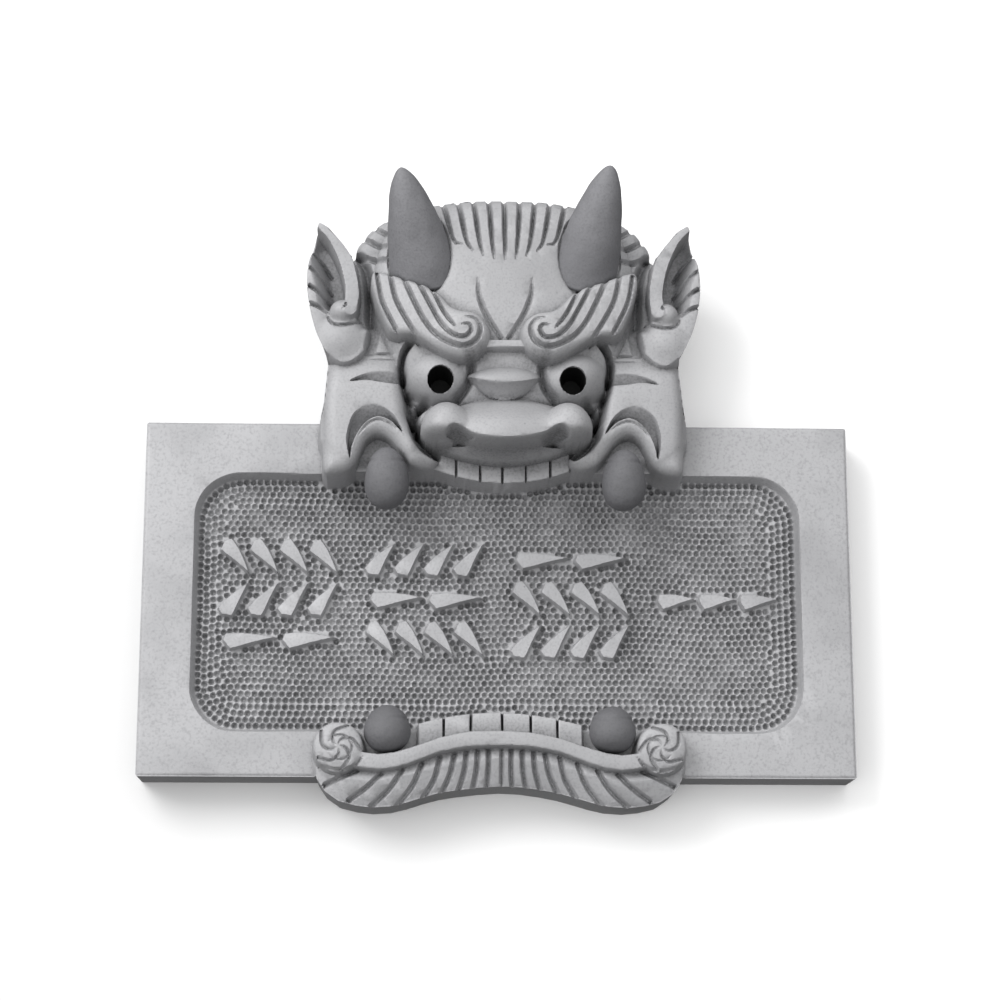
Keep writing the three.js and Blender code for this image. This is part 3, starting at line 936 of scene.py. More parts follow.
@dataclass
class Nose(Feature):
    """The bar over the bridge, a fold of skin, and the blunt wide nose.

    Attributes:
        offset: How far the nose stands off the centre line, in mm.
    """

    offset: float = 0.8

    def model(self, relief: Relief) -> None:
        """Press the nose onto the face, from the bridge down.

        Args:
            relief: The relief being worked.
        """
        area = relief.window(np.array([(self.axis - 36, 40), (self.axis + 36, 84)]), 0)
        u, z = self.out(relief.x[area]), relief.z[area]
        self.fold(relief, area, u, z)
        ledge = mirrored([(-8.6, 80.4), (8.6, 80.4), (7.6, 83.2), (-7.6, 83.2)], self.side, self.axis)
        relief.raise_loop(np.array(ledge), 44.6, 0.7, 0.3)
        self.tip(relief, area, u, z)
        for side in Side:
            self.nostril(relief, side)

    def fold(self, relief: Relief, area: Area, u: np.ndarray, z: np.ndarray) -> None:
        """Press the lens-shaped fold of skin across the bridge.

        Args:
            relief: The relief.
            area: Window round the nose.
            u: Distance across from the centre line.
            z: Level.
        """
        ground = relief.height[area]
        arch = np.clip(u / 12.6, -1, 1) ** 2
        crest, top, foot = 68.5 + 3.0 * arch, 76.0 - 3.6 * arch, 63.8 + 8.2 * arch
        above = np.clip((z - crest) / (top - crest + 0.01), 0, 1)
        below = np.clip((crest - z) / (crest - foot + 0.01), 0, 1)
        lens = 37.4 + (7.4 - 7.0 * above ** 2.4 - 6.6 * below ** 0.8) * np.sqrt(1 - arch)
        within = (np.abs(u) < 12.5) & (z < top) & (z > foot)
        relief.height[area] = np.where(within, blend_max(lens, ground, 0.8), ground)

    def tip(self, relief: Relief, area: Area, u: np.ndarray, z: np.ndarray) -> None:
        """Press on the blunt middle of the nose and a lobe at each side.

        Args:
            relief: The relief.
            area: Window round the nose.
            u: Distance across from the centre line.
            z: Level.
        """
        ground = relief.height[area]
        bow = 0.011 * u * u
        rise = z - 48.5 - bow
        away = np.hypot((u - self.offset) / 27.0, rise / np.where(rise > 0, 16.8 - bow, 1.6 + 0.002 * u * u))
        blunt = 0.46 + 0.4 * smoothstep(0, 11, rise) + 0.1 * (rise < 0)
        middle = 35.0 + 15.4 * np.clip(1 - away ** 2, 0, 1) ** blunt
        ground = np.where(away < 1, blend_max(middle, ground, 3.0), ground)
        for side in Side:
            out = side.value * (u - self.offset)
            away = np.hypot((out - 20.4) / 8.6, (z - 53.2) / np.where(z > 53.2, 9.7, 4.3))
            lobe = 35.5 + 14.8 * dome(away ** 1.3)
            ground = np.where(away < 1, blend_max(lobe, ground, 5.0), ground)
        relief.height[area] = ground

    def nostril(self, relief: Relief, side: Side) -> None:
        """Hollow one nostril and press in the crease round its lobe.

        Args:
            relief: The relief being worked.
            side: Which half of the face.
        """
        loop = [(20.8, 49.4), (20.2, 51.4), (18.0, 52.9), (15.0, 52.2), (12.0, 50.2), (10.0, 48.6),
                (15.0, 48.2)]
        hollow = smooth_path(mirrored(loop, side, self.axis + self.offset), closed=True)
        area, _, _, inside = relief.within(hollow, 2)
        relief.height[area] -= 7.0 * smoothstep(-0.1, 1.7, inside)
        # Painted shade down the nostril.
        relief.paint_soot_and_shade(area, 0.9 * smoothstep(0, 1.2, inside))
        lobe = [(27.2, 64.2), (30.0, 61.6), (31.0, 58.0), (30.4, 53.4), (27.6, 49.4), (23.6, 47.0)]
        relief.crease(smooth_path(mirrored(lobe, side, self.axis + 0.6)), 4.4, 8.0)


@dataclass
class UpperMouth(Feature):
    """The lip that slopes in under the nose, and six upper teeth.

    Attributes:
        edges: Where the teeth meet, in mm.
        tooth: Their height above the back.
    """

    edges: tuple[float, ...] = (-24.6, -16.0, -8.0, -0.2, 7.7, 15.8, 22.6)
    tooth: float = 25.0

    def model(self, relief: Relief) -> None:
        """Model the lip and the teeth.

        Args:
            relief: The relief being worked.
        """
        area = relief.window(np.array([(self.axis - 30, 36), (self.axis + 30, 62)]), 0)
        u, z = self.out(relief.x[area]), relief.z[area]
        lip, foot = 44.2 + 0.0092 * u * u, 38.2 + 0.0086 * u * u
        up = (z - lip) / (1 + 0.0012 * u * u)
        slope = 30.2 + 2.9 * np.clip(up, 0, 2.7) - 3.0 * smoothstep(2.9, 3.9, up)
        shown = smoothstep(-0.5, 0.3, z - lip) * smoothstep(62, 57, z) * smoothstep(27.5, 25.0, np.abs(u))
        ground = laid(relief.height[area], slope, shown)
        bulging = self.tooth - round_over(z - foot, 0.9) + 0.25 * smoothstep(lip, foot, z)
        for left, right in zip(self.edges, self.edges[1:]):
            inside = np.minimum(u - left - 0.12, right - 0.12 - u)
            on = smoothstep(-0.3, 0.25, inside) * smoothstep(-0.5, 0.3, z - foot) * (z < lip + 0.6)
            ground = laid(ground, bulging - round_over(inside, 0.6), on)
        behind = (np.abs(u) < 24) & (z > foot) & (z < lip + 0.6)
        relief.height[area] = np.where(behind, np.maximum(ground, 23.2), ground)


@dataclass
class Cheek(Feature):
    """One cheek: swollen, with a crescent cut round the root of the fang.

    Attributes:
        height: Its height above the back, in mm.
    """

    height: float = 33.6

    def model(self, relief: Relief) -> None:
        """Raise the cheek and cut its crescent and the fang's arch.

        Args:
            relief: The relief being worked.
        """
        loop = [(34.6, 46.4), (37.2, 50.4), (40.4, 52.9), (43.4, 53.2), (46.4, 51.0), (48.4, 47.0),
                (50.4, 42.9), (53.5, 40.6), (58, 39.6), (60.6, 41.0), (61.0, 50), (61.0, 62), (60.6, 75),
                (58, 90), (46, 92), (36.5, 86), (35.2, 76), (34.4, 70), (33.4, 64), (32.9, 60),
                (31.2, 56), (27.2, 51.2), (23.0, 47.6), (22.0, 44.9), (24.2, 42.6), (28, 42.3), (32, 43.4)]
        area, x, z, inside = relief.within(self.trace(loop, closed=True))
        u = self.out(x)
        swell = 1.2 * dome(np.hypot((u - 44) / 20, (z - 62) / 20))
        top = self.height + swell - 3.4 * smoothstep(68, 86, z) - 2.5 * smoothstep(32, 24, u)
        outer = round_over(relief.edge[area] + 0.3, 4.5)
        relief.stand(area, inside, top - np.maximum(round_over(inside, 4.6), outer), 0.8)
        shelf = relief.window(np.array(mirrored([(30, 42.4), (52, 58)], self.side, self.axis)), 0)
        ground = relief.height[shelf]
        relief.height[shelf] = np.maximum(ground, 25.5 - 2.5 * smoothstep(47, 43, relief.z[shelf]))
        crescent = [(51.9, 44.6), (53.0, 51.3), (51.2, 58.8), (47.6, 62.4), (44.0, 63.4), (40.2, 62.2),
                    (36.4, 58.6), (34.0, 53.4), (36.0, 55.6), (38.6, 57.8), (42.4, 58.9), (46.0, 57.2),
                    (49.2, 53.2), (51.2, 48.4)]
        self.fold(relief, crescent, (42.5, 45.0), (18.0, 12.5), 4.8)
        wrinkle = [(52.4, 70.9), (48.6, 73.4), (43.6, 75.0), (38.6, 75.2), (34.0, 74.2), (33.2, 71.4),
                   (36.4, 70.6), (40.6, 70.8), (46.6, 71.6)]
        self.fold(relief, wrinkle, (42.5, 40.0), (35.4, 30.4), 3.6)

    def fold(self, relief: Relief, loop: Points, centre: tuple[float, float], reach: tuple[float, float],
             depth: float) -> None:
        """Press a fold whose floor runs in under its outer edge.

        Args:
            relief: The relief.
            loop: Outline of the fold.
            centre: Point that the fold turns about.
            reach: Distances from that point where the floor starts and is deepest.
            depth: Greatest depth.
        """
        area, x, z, inside = relief.within(self.trace(loop, closed=True), 2)
        away = np.hypot(self.out(x) - centre[0], z - centre[1])
        deep = smoothstep(*reach, away)
        relief.height[area] -= smoothstep(-0.1, 0.8, inside) * (0.5 + (depth - 0.5) * deep)
        # Painted shade in the fold, darker where it is deep.
        relief.paint_soot_and_shade(area, smoothstep(0, 0.7, inside) * (0.6 + 0.2 * deep))

    def incisions(self) -> list[Incision]:
        """The wrinkles under and beside the eye, and the crescent's inner line.

        Returns:
            The lines to cut.
        """
        return [self.cut([(46.8, 81.0), (42.0, 81.6), (36.0, 81.2)], self.side, 1.5, 1.1, 0.5),
                self.cut([(45.6, 79.6), (36.0, 79.4)], self.side, 1.1, 0.7, 0.4),
                self.cut([(35.8, 54.6), (39.2, 57.0), (42.6, 57.8), (46.0, 56.2), (48.8, 52.6)], self.side,
                         1.2, 0.9, 0.3)]


@dataclass
class Ear(Feature):
    """One pointed ear with a rolled rim, a ribbed blade and a full lobe.

    Attributes:
        blade: Height of the blade above the back, in mm.
        rim: Height of the rim.
    """

    blade: float = 35.0
    rim: float = 38.0

    def outline(self) -> np.ndarray:
        """The ear's closed outline: smooth but for its tip.

        Returns:
            Points round the ear.
        """
        loop = [(63.0, 126.4), (60.4, 124.9), (56.8, 122.4), (53.6, 118.6), (51.2, 113.6), (48.0, 108),
                (46.4, 100), (45.6, 92.0), (45.4, 88), (46.2, 84.0), (49.4, 79.6), (54.2, 77.2),
                (58.2, 79.2), (61.4, 83.4), (64.4, 90.4), (66.4, 98.2), (67.1, 106.4), (66.4, 114),
                (65.0, 120.6), (63.0, 126.4)]
        return np.array(mirrored(smooth_path(loop)[:-1].tolist(), self.side, self.axis))

    def model(self, relief: Relief) -> None:
        """Raise the ear beside the head: blade, rim, curl, lobe and the gap behind.

        Args:
            relief: The relief being worked.
        """
        area, x, z, inside = relief.within(self.outline())
        u = self.out(x)
        rim_path = [(62.2, 125.0), (58.0, 120.4), (54.4, 114.0), (52.4, 107), (51.6, 101), (52.2, 95.6)]
        rim = line_distance(u, z, smooth_path(rim_path))
        valley = line_distance(u, z, smooth_path([(61.6, 119.5), (59.4, 114), (57.6, 107), (56.6, 99.5)]))
        form = self.blade - 10.0 * smoothstep(7.5, 1.0, valley) * smoothstep(94, 98, z)
        flank = smoothstep(50.6, 48.6, u + 0.5 * smoothstep(108, 120, z) * (108 - z)) * smoothstep(88, 94, z)
        form = form - 9.0 * flank - round_over(inside, 0.7)
        relief.stand(area, inside, form, 0.4)
        relief.spread(area, inside)
        # Painted shade on the steep flank behind the rim and down the valley beside it.
        shade = 0.5 * flank + 0.3 * smoothstep(5.5, 1.0, valley) * smoothstep(96, 100, z)
        relief.paint_soot_and_shade(area, shade * (inside > 0))
        width = 1.5 + 1.1 * smoothstep(125, 112, z)
        shown = smoothstep(-0.3, 0.4, width - rim)
        relief.height[area] = laid(relief.height[area], self.rim - round_over(width - rim, 0.7), shown)
        relief.soot_and_shade_map[area] *= 1 - shown
        for place, radii, base, rise in (((54.9, 95.4), (4.5, 4.3), 33.2, 5.2),
                                         ((55.2, 86.4), (8.8, 9.0), 30.5, 6.8)):
            centre, = mirrored([place], self.side, self.axis)
            relief.bulge(centre, radii, base, rise, 1.6)
        gap = [(49.6, 116.4), (47.4, 112.0), (46.2, 106.6), (45.6, 100.0), (45.6, 94.0), (44.6, 88.6),
               (45.6, 83.0)]
        relief.crease(self.trace(gap), 5.0, 5.0)

    def incisions(self) -> list[Incision]:
        """Ribs cut across the blade, the curl's hook and the line over the lobe.

        Returns:
            The lines to cut.
        """
        ribs = ([(65.8, 118.6), (62.2, 115.0), (58.6, 109.6)], [(66.8, 111.6), (62.8, 108.4), (58.4, 103.4)],
                [(67.2, 105.2), (63.2, 102.6), (58.6, 99.0)], [(67.0, 98.6), (63.4, 97.4), (59.4, 94.8)])
        cuts = [self.cut(rib, self.side, 1.9, 2.2, 0.12) for rib in ribs]
        cuts.append(self.cut([(54.2, 98.4), (53.6, 96.8), (54.8, 95.6)], self.side, 1.2, 1.1, 0.3))
        line = [(60.2, 94.0), (58.2, 91.0), (54.6, 90.2), (50.6, 91.4), (47.6, 92.2)]
        return [*cuts, self.cut(line, self.side, 1.7, 1.6, 0.3)]


# --------------------------------------------------------------------------- jaw


@dataclass
class Jaw(Feature):
    """The lower jaw: teeth, a smooth lip, a short combed beard, two scrolls.

    Attributes:
        lip: Height of the lip above the back, in mm.
        tooth: Height of the teeth.
        edges: Where the teeth meet.
        scroll: Centre of the scroll at each end.
        scroll_radius: Its radius.
        arms: Cuts that wind round it.
    """

    lip: float = 28.6
    tooth: float = 22.6
    edges: tuple[float, ...] = (-27.2, -18.4, -9.4, 0.8, 10.4, 19.4, 27.8)
    scroll: tuple[float, float] = (53.3, -51.8)
    scroll_radius: float = 8.3
    arms: int = 5

    def lip_line(self, u: np.ndarray, upper: bool) -> np.ndarray:
        """Level of the lip's upper or lower edge.

        Args:
            u: Distances from the centre line.
            upper: Whether the upper edge is asked for.

        Returns:
            Levels in mm.
        """
        across = (0, 10, 15, 20, 25, 30, 35, 40, 46, 52, 62)
        top = (-45.9, -46.4, -47.3, -48.5, -50.3, -51.9, -53.3, -53.9, -53.2, -52.6, -52.6)
        foot = (-51.2, -51.7, -52.5, -53.6, -55.5, -57.4, -58.8, -59.4, -58.8, -57.6, -57.4)
        return np.interp(np.abs(u), across, top if upper else foot)

    def outline(self) -> np.ndarray:
        """The jaw's closed outline.

        Returns:
            Points round the jaw.
        """
        half = [(0, -46), (10, -46.6), (20, -48.6), (30, -52.0), (40, -54.0), (47, -54.0), (61.2, -53.6),
                (61.5, -57.2), (60.4, -61.6), (57.6, -65.8), (53.0, -69.0), (47.4, -70.4), (42.0, -70.9),
                (36, -70.5), (31, -69.4), (26, -67.9), (20, -66.2), (14, -65.1), (7, -64.2), (0, -63.9)]
        return both_sides(half, self.axis)

    def model(self, relief: Relief) -> None:
        """Model the jaw along the plate's lower edge.

        Args:
            relief: The relief being worked.
        """
        loop = self.outline()
        area = relief.window(np.vstack([loop, [(self.axis, -38)]]), 3)
        x, z = relief.x[area], relief.z[area]
        u = self.out(x)
        inside = loop_distance(x, z, loop)
        beard = 21.8 + 4.2 * np.clip(inside / 9, 0, 1) ** 0.8
        relief.stand(area, inside, beard - round_over(inside, 0.5), 0.2)
        relief.spread(area, inside)
        rise = -39.1 - 0.0056 * u * u
        ground = relief.height[area]
        for left, right in zip(self.edges, self.edges[1:]):
            depth = np.minimum(np.minimum(u - left - 0.14, right - 0.14 - u), rise - z)
            block = self.tooth - round_over(depth, 0.8) - 0.07 * (z + 46)
            ground = laid(ground, block, smoothstep(-0.4, 0.3, depth) * (z > -58))
        band = np.minimum(np.minimum(self.lip_line(u, True) - z, z - self.lip_line(u, False)), 49 - np.abs(u))
        relief.height[area] = laid(ground, self.lip - round_over(band, 1.0), smoothstep(-0.5, 0.3, band))
        for side in Side:
            (cx, cz), = mirrored([self.scroll], side, self.axis)
            away = np.hypot(x - cx, z - cz)
            disc = self.scroll_radius - away
            shell = 26.2 + 4.0 * dome(np.minimum(away / (self.scroll_radius + 1.5), 1))
            relief.stand(area, disc, shell - round_over(disc, 0.9), 0.2)
            relief.spread(area, disc)
            relief.bulge((cx - side.value * 0.6, cz - 0.3), (3.9, 3.9), 28.4, 1.5, 0.3)

    def incisions(self) -> list[Incision]:
        """The beard's locks and the pinwheel cuts of the scrolls.

        Returns:
            The lines to cut.
        """
        locks = [(46.0, -59.0, 58.6, -63.6, 0.2), (38.2, -59.8, 50.6, -68.8, 0.8),
                 (31.6, -58.4, 43.2, -70.9, 1.2), (25.2, -56.0, 34.6, -70.8, 1.3),
                 (19.6, -54.2, 25.8, -68.2, 1.2), (14.8, -52.9, 19.6, -66.6, 0.9),
                 (11.0, -52.2, 13.8, -65.6, 0.7), (7.3, -51.8, 9.0, -64.9, 0.5),
                 (3.8, -51.5, 4.3, -64.5, 0.3)]
        cuts = [self.cut([(0.6, -51.4), (0.7, -64.6)], Side.RIGHT, 1.9, 1.6, 0.15)]
        for side in Side:
            for u0, z0, u1, z1, bow in locks:
                path = [(u0, z0 + 0.3), ((u0 + u1) / 2 - bow, (z0 + z1) / 2 - bow * 0.3), (u1, z1 - 0.6)]
                cuts.append(self.cut(path, side, 2.1, 2.0, 0.1, 0.02, 1.6))
            under = [(60.4, -57.6), (54.0, -59.4), (48.4, -58.4), (45.2, -55.0)]
            cuts.append(self.cut(under, side, 1.6, 1.5, 0.2))
            cuts += self.pinwheel(side)
        return cuts

    def pinwheel(self, side: Side) -> list[Incision]:
        """Curved arms round one scroll, and the ring round its middle.

        Args:
            side: Which half of the face.

        Returns:
            The lines to cut.
        """
        u0, z0 = self.scroll
        radii = ((0.8, 0.0), (2.8, 0.35), (5.2, 0.9), (7.9, 1.55))
        lines = []
        for i in range(self.arms):
            start = 2 * math.pi * i / self.arms + 0.5
            arm = [(u0 + r * math.cos(start + t), z0 + r * math.sin(start + t)) for r, t in radii]
            lines.append((arm, 1.4, 1.2, 0.3, 0.05))
        turn = np.linspace(0.4, 2 * math.pi - 0.5, 14)
        ring = [(u0 - 0.6 + 4.1 * math.cos(t), z0 - 0.3 + 4.1 * math.sin(t)) for t in turn]
        lines.append((ring, 1.0, 0.8, 0.2))
        return [Incision(smooth_path(mirrored(path, side, self.axis), spacing=0.6), *shape)
                for path, *shape in lines]


# ----------------------------------------------------------------- nodes and meshes


def add_node(tree: bpy.types.NodeTree, kind: str, inputs: dict | list | None = None,
             **settings: object) -> bpy.types.Node:
    """Add a node with its settings, values and links.

    Args:
        tree: The node tree.
        kind: The node's type.
        inputs: Value, socket or node for each input, listed in order or by name or index;
            a node gives its first output.
        **settings: The node's own properties.

    Returns:
        The new node.
    """
    node = tree.nodes.new(kind)
    for name, value in settings.items():
        setattr(node, name, value)
    pairs = inputs.items() if isinstance(inputs, dict) else enumerate(inputs or [])
    for key, value in pairs:
        source = value.outputs[0] if isinstance(value, bpy.types.Node) else value
        if isinstance(source, bpy.types.NodeSocket):
            tree.links.new(source, node.inputs[key])
        else:
            node.inputs[key].default_value = source
    return node


def placed(name: str, data: bpy.types.ID) -> bpy.types.Object:
    """Put a mesh, camera or lamp in the scene as a new object.

    Args:
        name: Its name.
        data: The mesh, camera or lamp.

    Returns:
        The new object.
    """
    item = bpy.data.objects.new(name, data)
    bpy.context.scene.collection.objects.link(item)
    return item


def store(mesh: bpy.types.Mesh, name: str, values: np.ndarray) -> None:
    """Store a number at each of a mesh's points, under a name."""
    stored = mesh.attributes.new(name, "FLOAT", "POINT")
    stored.data.foreach_set("value", np.asarray(values, np.float32))


def near_guide(tree: bpy.types.NodeTree, source: bpy.types.NodeSocket, element: str) -> bpy.types.Node:
    """Work out the cut that the nearest part of a guide makes at each point.

    Args:
        tree: The node tree.
        source: Object socket of the guide.
        element: EDGES to follow lines, POINTS to ring single points.

    Returns:
        The node that gives the depth of the cut.
    """
    guide = add_node(tree, "GeometryNodeObjectInfo", {"Object": source}).outputs["Geometry"]
    place = add_node(tree, "ShaderNodeSeparateXYZ", [add_node(tree, "GeometryNodeInputPosition")]).outputs
    flat = add_node(tree, "ShaderNodeCombineXYZ", {"X": place["X"], "Z": place["Z"]})
    away = add_node(tree, "GeometryNodeProximity", {0: guide, "Source Position": flat},
                    target_element=element)
    index = add_node(tree, "GeometryNodeSampleNearest", {"Geometry": guide, "Sample Position": flat})
    values = []
    for name in ("radius", "depth", "flatness"):
        stored = add_node(tree, "GeometryNodeInputNamedAttribute", {"Name": name}, data_type="FLOAT")
        inputs = {"Geometry": guide, "Value": stored, "Index": index}
        values.append(add_node(tree, "GeometryNodeSampleIndex", inputs, data_type="FLOAT"))
    radius, depth, flatness = values
    share = add_node(tree, "ShaderNodeMath", [away.outputs["Distance"], radius], operation="DIVIDE")
    power = add_node(tree, "ShaderNodeMath", [share, flatness], operation="POWER")
    hollow = add_node(tree, "ShaderNodeMath", [1.0, power], operation="SUBTRACT", use_clamp=True)
    return add_node(tree, "ShaderNodeMath", [hollow, depth], operation="MULTIPLY")


def cutting_tree(name: str, guide: str, element: str) -> bpy.types.NodeTree:
    """Build a tree that cuts along a guide's lines or punches at its points.

    Args:
        name: The tree's name.
        guide: Name of the input that takes the guide object.
        element: EDGES or POINTS.

    Returns:
        The node tree.
    """
    tree = bpy.data.node_groups.new(name, "GeometryNodeTree")
    for label, kind in (("Geometry", "Geometry"), (guide, "Object"), ("Depth", "Float"),
                        ("Clay", "Material")):
        socket = tree.interface.new_socket(label, in_out="INPUT", socket_type=f"NodeSocket{kind}")
        if label == "Depth":
            socket.default_value = 1.0
    tree.interface.new_socket("Geometry", in_out="OUTPUT", socket_type="NodeSocketGeometry")
    start = add_node(tree, "NodeGroupInput").outputs
    cut = near_guide(tree, start[guide], element)
    scaled = add_node(tree, "ShaderNodeMath", [cut, start["Depth"]], operation="MULTIPLY")
    mask = add_node(tree, "GeometryNodeInputNamedAttribute", {"Name": "face"}, data_type="FLOAT")
    masked = add_node(tree, "ShaderNodeMath", [scaled, mask], operation="MULTIPLY")
    offset = add_node(tree, "ShaderNodeCombineXYZ", {"Y": masked})
    moved = add_node(tree, "GeometryNodeSetPosition", {"Geometry": start["Geometry"], "Offset": offset})
    real = add_node(tree, "GeometryNodeRealizeInstances", {"Geometry": moved})
    dressed = add_node(tree, "GeometryNodeSetMaterial", {"Geometry": real, "Material": start["Clay"]})
    add_node(tree, "NodeGroupOutput", {"Geometry": dressed})
    return tree


def guide_object(name: str, points: np.ndarray, edges: list[tuple[int, int]], radius: np.ndarray,
                 depth: np.ndarray, flatness: np.ndarray) -> bpy.types.Object:
    """Make the hidden mesh that a tree follows.

    Args:
        name: Its name.
        points: Places on the face, in mm.
        edges: Pairs of points joined by lines.
        radius: Half the cut's width at each point, in mm.
        depth: The cut's depth at each point, in mm.
        flatness: How flat its floor is at each point.

    Returns:
        The guide object.
    """
    mesh = bpy.data.meshes.new(name)
    mesh.from_pydata([(x * MM, 0, z * MM) for x, z in points], edges, [])
    for label, values in (("radius", radius * MM), ("depth", depth * MM), ("flatness", flatness)):
        store(mesh, label, values)
    return placed(name, mesh)


def set_input(modifier: bpy.types.Modifier, label: str, value: object) -> None:
    """Set a Geometry Nodes modifier's input by its socket's identifier.

    Args:
        modifier: The modifier.
        label: The input's name.
        value: What it takes.
    """
    for item in modifier.node_group.interface.items_tree:
        if item.item_type == "SOCKET" and item.in_out == "INPUT" and item.name == label:
            modifier[item.identifier] = value


def baked(piece: bpy.types.Object) -> None:
    """Turn a piece's modifiers into plain mesh and remove them.

    Args:
        piece: The object.
    """
    graph = bpy.context.evaluated_depsgraph_get()
    mesh = bpy.data.meshes.new_from_object(piece.evaluated_get(graph))
    piece.modifiers.clear()
    piece.data = mesh


# --------------------------------------------------------------------- finishes


def linear(hex_colour: str) -> tuple[float, float, float, float]:
    """Turn an sRGB hex colour into linear RGBA."""
    parts = [int(hex_colour[i:i + 2], 16) / 255 for i in (1, 3, 5)]
    return (*[p / 12.92 if p <= 0.04045 else ((p + 0.055) / 1.055) ** 2.4 for p in parts], 1.0)


@dataclass(frozen=True)
class SmokedClay:
    """Ibushi tile clay: fired, then smoked so that carbon coats it silver-grey.

    Attributes:
        name: Name of the material.
        face: Colour where the skin is rubbed bright.
        cloud: Colour of the duller patches.
        roughness: Roughness of the bright skin.
        metallic: Share of the carbon film's metal-like sheen.
        grain: Depth of the fine clay grain in mm.
        forward_darkening: How much darker the skin is made on parts that stand forward of the plate.
        hollow: Colour of the pinholes, and of the soot, dust and painted shade in the cuts.
        bore: Near-black painted shade down a deep bore.
        hollow_roughness: Roughness where the soot and painted shade lie.
    """

    name: str
    face: str
    cloud: str
    roughness: float
    metallic: float
    grain: float
    forward_darkening: float = 0.0
    hollow: str = "#2A2B2D"
    bore: str = "#050505"
    hollow_roughness: float = 0.85

    def make(self) -> bpy.types.Material:
        """Build the material.

        Returns:
            The new material.
        """
        material = bpy.data.materials.new(self.name)
        material.use_nodes = True
        tree = material.node_tree
        tree.nodes.clear()
        place = add_node(tree, "ShaderNodeTexCoord").outputs["Object"]
        # Soft clouds a few centimetres wide, where the smoke coat is thicker or thinner.
        clouds = add_node(tree, "ShaderNodeTexNoise",
                          {"Vector": place, "Scale": 1 / (34 * MM), "Detail": 4.0})
        patches = add_node(tree, "ShaderNodeMapRange", [clouds, 0.42, 0.7, 0.0, 0.5],
                           interpolation_type="SMOOTHSTEP")
        # Specks under a millimetre across, where the coat is rubbed through.
        specks = add_node(tree, "ShaderNodeTexNoise",
                          {"Vector": place, "Scale": 1 / (0.8 * MM), "Detail": 2.0})
        speckle = add_node(tree, "ShaderNodeMapRange", [specks, 0.48, 0.72, 0.0, 0.6])
        # Pinholes where grit burnt out of the clay, a few to the square centimetre.
        holes = add_node(tree, "ShaderNodeTexVoronoi", {"Vector": place, "Scale": 1 / (4.5 * MM)})
        pinholes = add_node(tree, "ShaderNodeMapRange", [holes, 0.09, 0.05, 0.0, 0.7])
        pin = add_node(tree, "ShaderNodeMath", [pinholes, patches], operation="MULTIPLY")
        # Parts that stand further forward than the plate are made darker, towards the cloud colour.
        forward = add_node(tree, "ShaderNodeSeparateXYZ", [place]).outputs["Y"]
        forward_dark = add_node(tree, "ShaderNodeMapRange", [forward, -19 * MM, -28 * MM, 0.0, self.forward_darkening])
        # Painted shade: hollows are darkened towards the hollow colour by the share of soot and painted
        # shade.
        soot = self.soot(tree, specks)
        # Painted shade: near-black down the bored pupils, which are dark for want of light.
        bore = add_node(tree, "ShaderNodeAttribute", attribute_name="bore").outputs["Fac"]
        base = linear(self.face)
        for share, colour in ((patches, self.cloud), (speckle, self.cloud), (pin, self.hollow),
                              (forward_dark, self.cloud), (soot, self.hollow), (bore, self.bore)):
            layer = add_node(tree, "ShaderNodeMix", {0: share, 6: base, 7: linear(colour)}, data_type="RGBA")
            base = layer.outputs[2]
        rough = add_node(tree, "ShaderNodeMapRange", [soot, 0.0, 1.0, self.roughness, self.hollow_roughness])
        # Fine fired grain, a millimetre from lump to lump.
        grain = add_node(tree, "ShaderNodeTexNoise",
                         {"Vector": place, "Scale": 1 / (0.9 * MM), "Detail": 5.0, "Roughness": 0.65})
        bump = add_node(tree, "ShaderNodeBump",
                        {"Height": grain, "Strength": 0.8, "Distance": self.grain * MM})
        clean = add_node(tree, "ShaderNodeMath", [1.0, soot], operation="SUBTRACT")
        film = add_node(tree, "ShaderNodeMath", [clean, self.metallic], operation="MULTIPLY")
        shader = add_node(tree, "ShaderNodeBsdfPrincipled", {"Base Color": base, "Roughness": rough,
                                                             "Metallic": film, "Normal": bump, "IOR": 1.5})
        add_node(tree, "ShaderNodeOutputMaterial", {"Surface": shader})
        return material

    @staticmethod
    def soot(tree: bpy.types.NodeTree, specks: bpy.types.Node) -> bpy.types.Node:
        """Gather kiln soot and dust, and paint shade, where a hollow is too narrow to rub clean.

        Args:
            tree: The material's tree.
            specks: Fine noise that makes the soot and painted shade uneven.

        Returns:
            The node that gives the share of soot and painted shade.
        """
        # Painted shade: an ambient-occlusion test darkens every narrow hollow, and the stored map adds soot
        # and painted shade from the relief.
        near = add_node(tree, "ShaderNodeAmbientOcclusion", {"Distance": 2.2 * MM}, samples=6).outputs["AO"]
        narrow = add_node(tree, "ShaderNodeMapRange", [near, 0.76, 0.22, 0.0, 0.75])
        stored = add_node(tree, "ShaderNodeAttribute", attribute_name="soot").outputs["Fac"]
        packed = add_node(tree, "ShaderNodeMath", [stored, 0.56], operation="MULTIPLY")
        deepest = add_node(tree, "ShaderNodeMath", [narrow, packed], operation="MAXIMUM")
        uneven = add_node(tree, "ShaderNodeMapRange", [specks, 0.3, 0.7, 0.75, 1.2])
        return add_node(tree, "ShaderNodeMath", [deepest, uneven], operation="MULTIPLY", use_clamp=True)


BURNISHED = SmokedClay("Smoked clay, burnished", "#A5A5A7", "#88888A", 0.56, 0.12, 0.14, 0.25)
MATT = SmokedClay("Smoked clay, left matt", "#737376", "#636366", 0.68, 0.05, 0.25)
SOOTED = SmokedClay("Smoked clay, matt and sooted", "#636366", "#555557", 0.7, 0.05, 0.25)


# ---------------------------------------------------------------- the tile body


